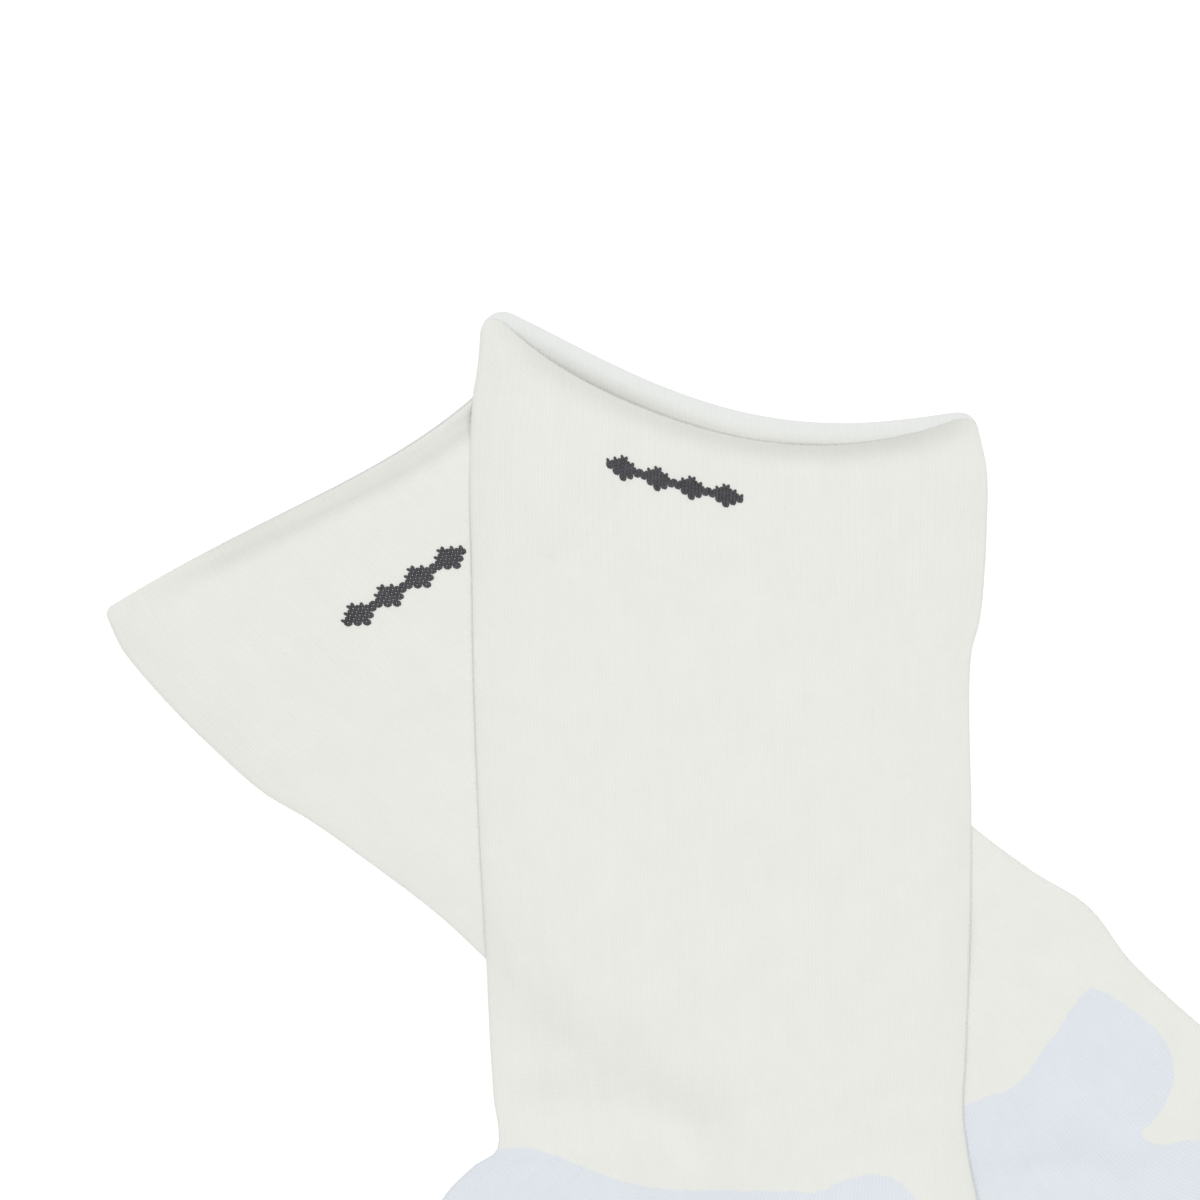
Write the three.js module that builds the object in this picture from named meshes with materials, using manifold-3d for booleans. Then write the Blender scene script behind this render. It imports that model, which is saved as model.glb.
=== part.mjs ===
// A pair of crew socks laid flat on a table and crossed. The upper sock lies over the ankle of the lower one.
// Each sock is a flattened tube of knitted cloth with an open cuff, a turned welt, a leg, a padded heel and sole,
// and a closed toe. Millimetres, +Z up from the table, and X and Y as seen from above.

import * as THREE from "three";
import { mergeVertices } from "three/addons/utils/BufferGeometryUtils.js";
import Module from "manifold-3d";

const wasm = await Module();
wasm.setup();

// Cloth walls. The welt is two layers of rib, and the heel, sole and toe are looped inside.
const WELT_WALL = 1.6;
const LEG_WALL = 1.3;
const TERRY_WALL = 1.8;
const SEAM_GAP = 0.4;
const LAY_GAP = 0.8;
const CROWN = 0.4;

// The welt, measured along the leg from the rim.
const WELT_DEPTH = 38;
const RIB_PITCH = 2.36;
const RIB_RELIEF = 0.25;
const RIM_ROLL = 1.0;
const RIM_FADE = 48;

// Where the terry begins and ends to thicken the wall, along the sock, and how far before its tip the toe starts.
const TERRY_START = 118;
const TERRY_FULL = 150;
const TOE_DEPTH = 27;
const TOE_ROUND = 34;
const TOE_TIP = 1.2;

// How far outside the lower sock the upper one comes down to the table.
const DRAPE_RAMP = 18;

// Spacing of the sections round the toe, and how far the cutting shapes reach past the cloth.
const TOE_STEP = 7;
const CUT_REACH = 20;
const CUT_LOW = -5;
const CUT_HIGH = 25;

// Sections of the upper sock, from the rim to the ball of the foot: where the fold on the heel side and the fold on
// the instep side lie, and how thick the sock lies there.
const UPPER_SECTIONS = [
  { name: "rim", heel: [-19.3, 50.1], instep: [64.8, 32.7], thick: 4.0 },
  { name: "under rim", heel: [-21.4, 43.8], instep: [67.2, 25.9], thick: 4.4 },
  { name: "upper welt", heel: [-22.6, 34.1], instep: [67.7, 17.5], thick: 4.4 },
  { name: "lower welt", heel: [-22.9, 21.9], instep: [67.6, 7.0], thick: 4.4 },
  { name: "welt edge", heel: [-22.6, 9.6], instep: [66.7, -3.2], thick: 4.2 },
  { name: "below welt", heel: [-22.4, 1.8], instep: [65.1, -9.6], thick: 3.8 },
  { name: "upper leg", heel: [-22.2, -10.5], instep: [64.8, -21.0], thick: 3.8 },
  { name: "calf", heel: [-21.7, -26.3], instep: [65.1, -35.9], thick: 3.8 },
  { name: "mid leg", heel: [-21.0, -43.8], instep: [64.9, -52.5], thick: 3.8 },
  { name: "lower leg", heel: [-20.0, -61.3], instep: [64.4, -68.3], thick: 3.8 },
  { name: "above ankle", heel: [-19.4, -75.3], instep: [63.9, -80.5], thick: 3.9 },
  { name: "ankle", heel: [-18.7, -86.6], instep: [63.5, -89.3], thick: 4.2 },
  { name: "heel start", heel: [-18.0, -96.3], instep: [64.4, -97.1], thick: 4.5 },
  { name: "heel flare", heel: [-27.0, -105.0], instep: [66.0, -105.9], thick: 4.8 },
  { name: "upper heel", heel: [-34.1, -118.1], instep: [64.4, -115.9], thick: 5.0 },
  { name: "back of heel", heel: [-37.6, -134.8], instep: [63.4, -125.1], thick: 5.2 },
  { name: "heel turn", heel: [-36.8, -154.0], instep: [63.4, -133.9], thick: 5.2 },
  { name: "under heel", heel: [-30.6, -171.5], instep: [65.6, -143.2], thick: 5.2 },
  { name: "heel end", heel: [-19.3, -187.3], instep: [70.9, -152.6], thick: 5.0 },
  { name: "arch start", heel: [-3.5, -202.1], instep: [77.9, -160.1], thick: 4.8 },
  { name: "arch", heel: [15.8, -218.8], instep: [85.8, -168.0], thick: 4.8 },
];

// The same for the lower sock.
const LOWER_SECTIONS = [
  { name: "rim", heel: [-85.6, -1.6], instep: [-12.3, 44.6], thick: 4.0 },
  { name: "under rim", heel: [-84.2, -8.6], instep: [-6.5, 40.1], thick: 4.4 },
  { name: "upper welt", heel: [-76.0, -17.9], instep: [0.0, 34.1], thick: 4.4 },
  { name: "lower welt", heel: [-68.3, -25.6], instep: [7.4, 26.6], thick: 4.4 },
  { name: "welt edge", heel: [-59.3, -33.6], instep: [13.3, 19.8], thick: 4.2 },
  { name: "below welt", heel: [-51.1, -38.5], instep: [18.9, 13.3], thick: 3.8 },
  { name: "upper leg", heel: [-43.1, -44.1], instep: [25.7, 5.0], thick: 3.8 },
  { name: "calf", heel: [-29.1, -54.6], instep: [36.1, -7.3], thick: 3.8 },
  { name: "mid leg", heel: [-20.0, -63.0], instep: [44.0, -16.8], thick: 3.8 },
  { name: "lower leg", heel: [-8.8, -74.2], instep: [53.3, -27.5], thick: 3.8 },
  { name: "above ankle", heel: [2.5, -85.4], instep: [64.4, -38.8], thick: 3.8 },
  { name: "ankle", heel: [13.8, -96.4], instep: [75.5, -47.3], thick: 3.9 },
  { name: "heel start", heel: [24.2, -105.9], instep: [85.8, -53.9], thick: 4.2 },
  { name: "heel flare", heel: [31.3, -112.4], instep: [92.8, -63.0], thick: 4.5 },
  { name: "upper heel", heel: [32.7, -124.6], instep: [99.9, -69.8], thick: 4.8 },
  { name: "back of heel", heel: [36.8, -138.6], instep: [105.5, -74.7], thick: 5.0 },
  { name: "heel turn", heel: [45.2, -151.4], instep: [111.5, -79.1], thick: 5.2 },
  { name: "under heel", heel: [57.8, -160.7], instep: [117.6, -82.4], thick: 5.2 },
  { name: "heel end", heel: [73.5, -165.9], instep: [124.3, -84.5], thick: 5.0 },
  { name: "arch start", heel: [92.8, -168.4], instep: [131.3, -85.8], thick: 4.8 },
  { name: "arch", heel: [116.4, -169.4], instep: [139.1, -86.1], thick: 4.8 },
];

// The foot from the ball to the toe is straight: its first mid point, its angle from +X, its half width and length.
const UPPER_FOOT = { start: [64.4, -205.5], angle: -45, half: 41.5, length: 110, thick: 4.8 };
const LOWER_FOOT = { start: [144.8, -128.0], angle: -3, half: 41.5, length: 118, thick: 4.8 };

// The mouth: how far the far wall's edge sags between its corners, how far the sag leans to the instep side, and how
// far below it the near wall's edge lies in the middle, with that distance's change from the middle to a side.
const UPPER_MOUTH = { sag: 7.7, lean: 0.0, step: 4.9, stepTilt: 0.9 };
const LOWER_MOUTH = { sag: 3.6, lean: 0.25, step: 3.2, stepTilt: -0.6 };

// Soft folds in the near wall, each along a bow through three places: a negative depth is a trough.
const UPPER_FOLDS = [
  { name: "ankle trough", path: [[-9.1, -87.2], [7.4, -87.2], [16.6, -93.5]], width: 4.0, depth: -0.9 },
  { name: "ankle ridge", path: [[-15.6, -95.6], [2.3, -91.4], [21.5, -99.9]], width: 3.0, depth: 0.5 },
  { name: "front trough", path: [[59.3, -84.9], [52.2, -87.9], [41.5, -93.5]], width: 3.5, depth: -0.8 },
  { name: "front ridge", path: [[60.7, -90.7], [48.7, -93.5], [35.0, -96.3]], width: 3.0, depth: 0.4 },
  { name: "calf hollow", path: [[35.0, -49.0], [43.8, -51.0], [52.5, -46.0]], width: 8.0, depth: -0.3 },
  { name: "heel trough", path: [[-24.0, -140.0], [-4.0, -138.0], [16.0, -131.0]], width: 4.5, depth: -0.8 },
  { name: "instep crease", path: [[60.0, -141.0], [48.0, -146.0], [34.0, -147.0]], width: 4.0, depth: -0.9 },
  { name: "arch hollow", path: [[36.0, -203.0], [58.0, -192.0], [76.0, -190.0]], width: 6.0, depth: -0.5 },
];
const LOWER_FOLDS = [
  { name: "cuff hollow", path: [[-47.3, -31.5], [-38.5, -27.1], [-29.8, -20.1]], width: 4.5, depth: -0.6 },
  { name: "welt hollow", path: [[-63.0, -8.8], [-60.5, -12.0], [-57.8, -15.8]], width: 5.0, depth: -0.3 },
  { name: "front trough", path: [[78.8, -60.4], [87.5, -61.3], [94.5, -67.4]], width: 4.5, depth: -0.8 },
  { name: "ear crease", path: [[102.6, -76.5], [100.6, -84.9], [98.0, -90.1]], width: 3.0, depth: -0.7 },
  { name: "instep ridge", path: [[105.5, -80.5], [105.0, -85.0], [104.3, -90.3]], width: 3.0, depth: 0.4 },
  { name: "gusset ridge", path: [[74.0, -86.1], [85.1, -92.5], [95.0, -95.5]], width: 3.0, depth: 0.5 },
  { name: "heel trough", path: [[69.0, -102.0], [80.5, -99.6], [88.5, -101.5]], width: 3.5, depth: -1.0 },
  { name: "sole ridge", path: [[87.5, -105.0], [97.0, -105.0], [108.0, -103.5]], width: 4.0, depth: 0.4 },
  { name: "instep crease", path: [[118.0, -92.0], [110.0, -101.0], [108.0, -112.0]], width: 4.0, depth: -0.8 },
  { name: "arch hollow", path: [[136.0, -150.0], [142.0, -130.0], [154.0, -112.0]], width: 6.0, depth: -0.5 },
];

// The edge of the padded heel and sole, from the heel fold round the gusset's ear by the instep to the notch below
// it and along the foot. The last points follow the foot, as a place along it and a height over its middle line.
const UPPER_PATCH = {
  ankle: [
    [-18.0, -96.3], [-12.3, -96.3], [0.0, -99.4], [7.0, -101.9], [21.0, -103.6], [35.0, -104.1], [42.0, -103.3],
    [45.9, -100.8], [49.9, -99.9], [53.2, -101.9], [55.2, -106.0], [56.0, -112.0], [54.6, -118.1], [50.8, -122.5],
    [46.4, -124.8], [47.0, -128.4], [52.0, -140.0], [60.0, -157.0], [70.0, -174.0],
  ],
  foot: [[0, 22], [40, 12], [83, 8]],
};
const LOWER_PATCH = {
  ankle: [
    [27.5, -109.0], [37.0, -104.0], [50.0, -95.0], [64.5, -88.0], [72.5, -85.0], [78.5, -77.5], [84.5, -69.0],
    [87.5, -68.4], [91.5, -70.5], [95.5, -73.5], [99.0, -77.5], [100.5, -81.5], [100.3, -85.0], [98.5, -89.0],
    [96.4, -91.5], [94.6, -93.3], [96.0, -94.7], [99.5, -95.2], [105.0, -94.4], [117.0, -97.0],
  ],
  foot: [[0, 22], [45, 12], [91, 8]],
};

/** How far along the sock each row lies, from the mid points of the rows. */
function measured(rows) {
  const mid = (row) => new THREE.Vector2((row.heel[0] + row.instep[0]) / 2, (row.heel[1] + row.instep[1]) / 2);
  rows[0].along = 0;
  for (let i = 1; i < rows.length; i += 1) {
    rows[i].along = rows[i - 1].along + mid(rows[i]).distanceTo(mid(rows[i - 1]));
  }
  return rows;
}

/** Rows for the straight foot: its width narrows round the toe to a blunt tip. */
function footRows(foot) {
  const forward = new THREE.Vector2(1, 0).rotateAround(new THREE.Vector2(), THREE.MathUtils.degToRad(foot.angle));
  const up = new THREE.Vector2(-forward.y, forward.x);
  const start = new THREE.Vector2(...foot.start);
  const toeStart = foot.length - TOE_ROUND;
  const places = [0, toeStart / 3, (2 * toeStart) / 3, toeStart];
  for (const turn of [0.2, 0.4, 0.6, 0.75, 0.87, 0.95]) places.push(toeStart + TOE_ROUND * turn);
  places.push(foot.length - TOE_TIP / 2);
  return places.map((place) => {
    const round = Math.max(0, (place - toeStart) / TOE_ROUND);
    const narrow = Math.pow(1 - Math.pow(round, 2.6), 1 / 2.2);
    const half = foot.half * narrow;
    const mid = start.clone().addScaledVector(forward, place);
    const heel = mid.clone().addScaledVector(up, -half);
    const instep = mid.clone().addScaledVector(up, half);
    const thick = foot.thick * (0.55 + 0.45 * narrow);
    return { name: "foot", heel: heel.toArray(), instep: instep.toArray(), thick };
  });
}

/** The value that read() takes from the rows at a place along them, by a cubic through the rows beside it. */
function between(rows, along, read) {
  let i = 0;
  while (i < rows.length - 2 && along > rows[i + 1].along) i += 1;
  const a = rows[i];
  const b = rows[i + 1];
  const before = rows[Math.max(i - 1, 0)];
  const after = rows[Math.min(i + 2, rows.length - 1)];
  const span = b.along - a.along;
  const t = (along - a.along) / span;
  const slopeA = ((read(b) - read(before)) / (b.along - before.along)) * span;
  const slopeB = ((read(after) - read(a)) / (after.along - a.along)) * span;
  if (t < 0) return read(a) + t * slopeA;
  if (t > 1) return read(b) + (t - 1) * slopeB;
  const t2 = t * t;
  const t3 = t2 * t;
  return (
    (2 * t3 - 3 * t2 + 1) * read(a) + (t3 - 2 * t2 + t) * slopeA + (3 * t2 - 2 * t3) * read(b) + (t3 - t2) * slopeB
  );
}

/** A sock's section at a place along it: mid point, direction across, direction to the toe and sizes. */
function sectionAt(sock, along) {
  const read = (side, axis) => between(sock.rows, along, (row) => row[side][axis]);
  const heel = new THREE.Vector2(read("heel", 0), read("heel", 1));
  const instep = new THREE.Vector2(read("instep", 0), read("instep", 1));
  const across = instep.clone().sub(heel);
  const half = Math.max(across.length() / 2, 0.6);
  across.normalize();
  return {
    along,
    half,
    across,
    mid: heel.add(instep).multiplyScalar(0.5),
    toeward: new THREE.Vector2(across.y, -across.x),
    thick: between(sock.rows, along, (row) => row.thick),
  };
}

/** A bow through three places, as a list of points. */
function bow(path) {
  const [a, through, b] = path.map((place) => new THREE.Vector2(...place));
  const pull = through.clone().multiplyScalar(2).sub(a.clone().add(b).multiplyScalar(0.5));
  return new THREE.QuadraticBezierCurve(a, pull, b).getPoints(8);
}

/** Distance from a place to the straight line between two points. */
function distanceToLine(a, b, place) {
  const run = b.clone().sub(a);
  const t = THREE.MathUtils.clamp(place.clone().sub(a).dot(run) / run.lengthSq(), 0, 1);
  return run.multiplyScalar(t).add(a).distanceTo(place);
}

/** Height of the folds at a place: soft troughs and ridges that fade past their ends. A hollow has the troughs only. */
function foldHeight(folds, place, hollow) {
  let height = 0;
  for (const { points, width, depth } of folds) {
    if (hollow && depth > 0) continue;
    const lines = points.slice(1).map((point, i) => distanceToLine(points[i], point, place));
    height += depth * Math.exp(-((Math.min(...lines) / width) ** 2));
  }
  return height;
}

/** How far a ring's point moves towards the toe, because the mouth sags: more in the near wall, none at the sides. */
function mouthShift(sock, along, side, lift) {
  const { sag, lean, step, stepTilt } = sock.mouth;
  const leaned = side - lean * (1 - side * side);
  const far = sag * Math.pow(Math.max(0, 1 - leaned * leaned), 1.5);
  const near = (step - stepTilt * side) * (1 - Math.pow(Math.abs(side), 12));
  const fade = Math.max(0, 1 - along / RIM_FADE);
  return Math.min(fade, 1) * (far + near * lift);
}

/** Distance from a place to a closed outline, negative inside it. */
function distanceToOutline(outline, place) {
  let nearest = Infinity;
  let inside = false;
  for (let i = 0; i < outline.length; i += 1) {
    const a = outline[i];
    const b = outline[(i + 1) % outline.length];
    nearest = Math.min(nearest, distanceToLine(a, b, place));
    const crosses = a.y > place.y !== b.y > place.y;
    if (crosses && place.x < ((b.x - a.x) * (place.y - a.y)) / (b.y - a.y) + a.x) inside = !inside;
  }
  return inside ? -nearest : nearest;
}

/** The height that the upper sock is lifted to at a place, over the lower sock and down beside it. */
function drapeHeight(under, place) {
  if (!under) return 0;
  const away = distanceToOutline(under.outline, place);
  if (away > DRAPE_RAMP) return 0;
  let nearest = under.sections[0];
  for (const section of under.sections) {
    if (section.mid.distanceTo(place) < nearest.mid.distanceTo(place)) nearest = section;
  }
  const top = nearest.thick + CROWN + LAY_GAP;
  return top * (1 - THREE.MathUtils.smoothstep(away, 0, DRAPE_RAMP));
}

/**
 * One ring of the sock at a place along it, a depth inside its wall: the near face from the heel side to the instep
 * side, the instep fold, the far face back, and the heel fold. Each point has its share of the way round, 0 to 4.
 */
function ring(sock, along, depth, { top, under, edge, ribbed = false, hollow = false }) {
  const section = sectionAt(sock, along);
  const round = Math.min(section.thick / 2, section.half * 0.8);
  const inner = Math.max(round - depth, 0.05);
  const flat = section.half - round;
  const spots = [];
  const half = Math.PI / 2;
  const share = (count, i) => i / (count - 1);
  const turned = (i) => (Math.PI * i) / (edge + 1);
  for (let i = 0; i < top; i += 1) {
    spots.push({ x: flat * (2 * share(top, i) - 1), turn: half, way: share(top, i), rib: i % 2 });
  }
  for (let i = 1; i <= edge; i += 1) spots.push({ x: flat, turn: half - turned(i), way: 1 + i / (edge + 1) });
  for (let i = 0; i < under; i += 1) {
    spots.push({ x: flat * (1 - 2 * share(under, i)), turn: -half, way: 2 + share(under, i) });
  }
  for (let i = 1; i <= edge; i += 1) spots.push({ x: -flat, turn: -half - turned(i), way: 3 + i / (edge + 1) });
  return spots.map(({ x, turn, way, rib = 0 }) => {
    const relief = ribbed ? rib * RIB_RELIEF : 0;
    const sideways = x + Math.cos(turn) * inner;
    const lift = (1 + Math.sin(turn)) / 2;
    const side = THREE.MathUtils.clamp(sideways / section.half, -1, 1);
    const place = section.mid.clone().addScaledVector(section.across, sideways);
    place.addScaledVector(section.toeward, mouthShift(sock, along, side, lift));
    const belly = lift * (1 - side * side);
    const folds = foldHeight(sock.folds, place, hollow) * Math.min(1, 3 * belly);
    const z = round + Math.sin(turn) * (inner - relief) + CROWN * belly + folds;
    return { way, point: new THREE.Vector3(place.x, place.y, z + drapeHeight(sock.under, place)) };
  });
}

/** Triangles between two rings that may differ in their count of points. */
function strip(first, a, second, b) {
  const index = [];
  let i = 0;
  let j = 0;
  const way = (points, k) => (k < points.length ? points[k].way : points[k - points.length].way + 4);
  while (i < first.length || j < second.length) {
    const here = a + (i % first.length);
    const there = b + (j % second.length);
    const stepSecond = i === first.length || (j < second.length && way(second, j + 1) <= way(first, i + 1));
    if (stepSecond) {
      index.push(here, there, b + ((j + 1) % second.length));
      j += 1;
    } else {
      index.push(here, there, a + ((i + 1) % first.length));
      i += 1;
    }
  }
  return index;
}

/** A closed geometry through rings: a loop of rings joined first to last, or a row with a fan at each end. */
function skinOf(rings, looped) {
  const starts = [];
  let count = 0;
  for (const points of rings) {
    starts.push(count);
    count += points.length;
  }
  const points = rings.flat().map(({ point }) => point);
  const index = [];
  for (let r = 0; r < rings.length - (looped ? 0 : 1); r += 1) {
    const next = (r + 1) % rings.length;
    index.push(...strip(rings[r], starts[r], rings[next], starts[next]));
  }
  const fan = (r, forward) => {
    const size = rings[r].length;
    const middle = rings[r].reduce((sum, { point }) => sum.add(point), new THREE.Vector3()).divideScalar(size);
    points.push(middle);
    for (let i = 0; i < size; i += 1) {
      const pair = [starts[r] + i, starts[r] + ((i + 1) % size)];
      index.push(points.length - 1, ...(forward ? pair.reverse() : pair));
    }
  };
  if (!looped) {
    fan(0, false);
    fan(rings.length - 1, true);
  }
  const geometry = new THREE.BufferGeometry().setFromPoints(points);
  geometry.setIndex(index);
  return geometry;
}

/** A manifold solid from a closed geometry. */
function solidOf(geometry) {
  geometry.deleteAttribute("normal");
  geometry.deleteAttribute("uv");
  const merged = mergeVertices(geometry, 1e-4);
  return new wasm.Manifold(
    new wasm.Mesh({
      numProp: 3,
      vertProperties: new Float32Array(merged.attributes.position.array),
      triVerts: new Uint32Array(merged.index.array),
    }),
  );
}

/** A three.js geometry from a manifold solid. */
function geometryOf(solid) {
  const mesh = solid.getMesh();
  const geometry = new THREE.BufferGeometry();
  geometry.setAttribute("position", new THREE.BufferAttribute(new Float32Array(mesh.vertProperties), 3));
  geometry.setIndex(new THREE.BufferAttribute(new Uint32Array(mesh.triVerts), 1));
  geometry.computeVertexNormals();
  return geometry;
}

/** Places along the sock from one to another, about a step apart. */
function places(from, to, step) {
  const count = Math.max(1, Math.round(Math.abs(to - from) / step));
  return Array.from({ length: count + 1 }, (_, i) => from + ((to - from) * i) / count);
}

/** A sock's rows, its sections and its outline as seen from above. */
function prepared(description) {
  const rows = measured([...description.sections, ...footRows(description.foot)]);
  const folds = description.folds.map((fold) => ({ ...fold, points: bow(fold.path) }));
  const sock = { ...description, rows, folds, length: rows[rows.length - 1].along };
  sock.sections = places(0, sock.length, 3).map((along) => sectionAt(sock, along));
  const side = (section, sign) => section.mid.clone().addScaledVector(section.across, sign * section.half);
  sock.outline = [
    ...sock.sections.map((section) => side(section, -1)),
    ...sock.sections.map((section) => side(section, 1)).reverse(),
  ];
  return sock;
}

/** The turned welt: a tube with ribs on its near face and a rolled rim, open at both ends. */
function weltSolid(sock) {
  const { cloth, hollow, step } = sock.fineness;
  const wide = 2 * sectionAt(sock, WELT_DEPTH / 2).half;
  const ribbed = { ...cloth, top: 2 * Math.round(wide / RIB_PITCH) + 1, under: 9, ribbed: true };
  const end = WELT_DEPTH - SEAM_GAP / 2;
  const rings = [
    ...places(RIM_ROLL, end, step).map((along) => ring(sock, along, 0, ribbed)),
    ...places(end, RIM_ROLL / 2, step).map((along) => ring(sock, along, WELT_WALL, hollow)),
    ring(sock, 0, WELT_WALL / 2, { ...ribbed, ribbed: false }),
  ];
  return solidOf(skinOf(rings, true));
}

/** Leg, heel, foot and toe as one cup of cloth, open at the welt. */
function bodySolid(sock) {
  const { cloth, hollow, step } = sock.fineness;
  const start = WELT_DEPTH + SEAM_GAP / 2;
  const footStart = sock.length - sock.foot.length;
  const toeStart = sock.length - TOE_ROUND;
  const leg = places(start, footStart, step);
  const foot = places(footStart, toeStart, 2 * step).slice(1);
  const toe = places(toeStart, sock.length - TOE_TIP, TOE_STEP).slice(1);
  const wall = (along) => {
    const terry = THREE.MathUtils.smoothstep(along, TERRY_START, TERRY_FULL);
    return THREE.MathUtils.lerp(LEG_WALL, TERRY_WALL, terry);
  };
  const inside = [...leg, ...foot, ...toe.slice(0, -1)].reverse();
  const rings = [
    ...inside.map((along) => ring(sock, along, wall(along), hollow)),
    ...[...leg, ...foot, ...toe, sock.length].map((along) => ring(sock, along, 0, cloth)),
  ];
  return solidOf(skinOf(rings, false));
}

/** A place given along a foot and over its middle line, as a point on the table. */
function onFoot(foot, [along, over]) {
  const turn = THREE.MathUtils.degToRad(foot.angle);
  const place = new THREE.Vector2(along, over).rotateAround(new THREE.Vector2(), turn);
  return place.add(new THREE.Vector2(...foot.start));
}

/** A tall prism over an outline that runs anticlockwise, grown sideways by a little. */
function prism(outline, grow = 0) {
  const grown = outline.map((point, i) => {
    const run = point.clone().sub(outline[(i + outline.length - 1) % outline.length]).normalize();
    const next = outline[(i + 1) % outline.length].clone().sub(point).normalize();
    const sum = run.clone().add(next);
    const mitre = new THREE.Vector2(sum.y, -sum.x).multiplyScalar(grow / (1 + run.dot(next)));
    return point.clone().add(mitre);
  });
  const geometry = new THREE.ExtrudeGeometry(new THREE.Shape(grown), {
    depth: CUT_HIGH - CUT_LOW,
    bevelEnabled: false,
  });
  geometry.translate(0, 0, CUT_LOW);
  return solidOf(geometry);
}

/** The outline of the padded heel and sole: its drawn edge, closed well outside the heel side of the sock. */
function patchOutline(sock) {
  const { patch, foot, sections } = sock;
  const drawn = [
    ...patch.ankle.map((place) => new THREE.Vector2(...place)),
    ...patch.foot.map((place) => onFoot(foot, place)),
  ];
  const edge = new THREE.SplineCurve(drawn).getPoints(Math.round(drawn.length * 1.6));
  const heelSide = (section, reach) => section.mid.clone().addScaledVector(section.across, -section.half - reach);
  const toStart = (section) => heelSide(section, 0).distanceTo(edge[0]);
  const start = sections.reduce((best, section) => (toStart(section) < toStart(best) ? section : best));
  const beside = sections.filter((section, i) => {
    return i % 6 === 0 && section.along > start.along + TOE_STEP && section.along < sock.length - TOE_ROUND;
  });
  const lead = edge[0].clone().sub(edge[1]).setLength(CUT_REACH).add(edge[0]);
  return [
    ...beside.map((section) => heelSide(section, CUT_REACH)),
    onFoot(foot, [foot.length - TOE_DEPTH, -foot.half - CUT_REACH]),
    ...edge.reverse(),
    lead,
  ];
}

/** The outline of the toe pocket: everything past the toe line. */
function toeOutline(foot) {
  const start = foot.length - TOE_DEPTH;
  const end = foot.length + CUT_REACH;
  const wide = foot.half + CUT_REACH;
  const corners = [[start, -wide], [end, -wide], [end, wide], [start, wide]];
  return corners.map((place) => onFoot(foot, place));
}

const knit = { ivory: 0xeaebe5, ice: 0xdee4eb };

/** The four pieces of a sock as named meshes. */
function sockMeshes(sock) {
  const body = bodySolid(sock);
  const patch = patchOutline(sock);
  const toe = toeOutline(sock.foot);
  const pieces = {
    welt: { solid: weltSolid(sock), colour: knit.ivory },
    leg: { solid: body.subtract(prism(patch, SEAM_GAP)).subtract(prism(toe, SEAM_GAP)), colour: knit.ivory },
    heel_sole: { solid: body.intersect(prism(patch)).subtract(prism(toe, SEAM_GAP)), colour: knit.ice },
    toe: { solid: body.intersect(prism(toe)), colour: knit.ice },
  };
  return Object.entries(pieces).map(([name, { solid, colour }]) => {
    const material = new THREE.MeshStandardMaterial({ color: colour, roughness: 0.95, metalness: 0 });
    const mesh = new THREE.Mesh(geometryOf(solid), material);
    mesh.name = `${sock.name}_${name}`;
    return mesh;
  });
}

// Points across each face and round each edge. The upper sock bends over the lower one, so it has more of them.
const lower = prepared({
  name: "lower",
  fineness: { step: 10, cloth: { top: 13, under: 4, edge: 3 }, hollow: { top: 7, under: 4, edge: 1, hollow: true } },
  sections: LOWER_SECTIONS,
  foot: LOWER_FOOT,
  mouth: LOWER_MOUTH,
  folds: LOWER_FOLDS,
  patch: LOWER_PATCH,
});
const upper = prepared({
  name: "upper",
  fineness: { step: 8, cloth: { top: 15, under: 8, edge: 3 }, hollow: { top: 12, under: 8, edge: 1, hollow: true } },
  sections: UPPER_SECTIONS,
  foot: UPPER_FOOT,
  mouth: UPPER_MOUTH,
  folds: UPPER_FOLDS,
  patch: UPPER_PATCH,
  under: lower,
});

// The origin is the middle of the pair's box on the table.
const pair = new THREE.Group();
pair.add(...sockMeshes(lower), ...sockMeshes(upper));
const box = new THREE.Box3().setFromObject(pair);
const centre = box.getCenter(new THREE.Vector3());
pair.position.set(-centre.x, -centre.y, -box.min.z);

export default pair;
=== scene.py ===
"""The look of a pair of crew socks that lie flat on a table, crossed.

Each sock is one flattened tube of fine knit: a turned ribbed welt, a plain ivory leg, a padded ice-blue
heel and sole, and a closed toe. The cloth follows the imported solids, with softer edges, finer folds and
every stitch.
Lengths in the tables are millimetres in the drawing's frame, where the photograph's centre is at 0, 0.
"""

from __future__ import annotations

import logging
import math
from dataclasses import dataclass, field
from enum import Enum

import bmesh
import bpy
import numpy as np
from mathutils import Matrix, Vector

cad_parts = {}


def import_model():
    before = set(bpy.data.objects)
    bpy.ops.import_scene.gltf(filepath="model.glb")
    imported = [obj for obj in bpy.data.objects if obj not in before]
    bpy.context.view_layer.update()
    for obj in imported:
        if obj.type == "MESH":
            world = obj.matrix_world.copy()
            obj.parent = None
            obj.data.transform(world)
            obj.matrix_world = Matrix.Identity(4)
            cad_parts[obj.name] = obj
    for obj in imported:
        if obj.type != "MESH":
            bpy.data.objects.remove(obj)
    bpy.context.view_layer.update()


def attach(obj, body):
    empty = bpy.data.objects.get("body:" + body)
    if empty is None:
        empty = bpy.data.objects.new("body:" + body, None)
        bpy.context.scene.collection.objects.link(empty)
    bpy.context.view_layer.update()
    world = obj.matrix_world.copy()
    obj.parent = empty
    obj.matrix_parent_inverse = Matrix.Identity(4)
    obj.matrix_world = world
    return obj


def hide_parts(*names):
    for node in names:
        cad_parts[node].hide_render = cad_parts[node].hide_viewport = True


MM = 0.001
ORIGIN = np.array([88.567, -124.811, 0.0])
"""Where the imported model's origin lies in the drawing's frame, in millimetres."""

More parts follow.
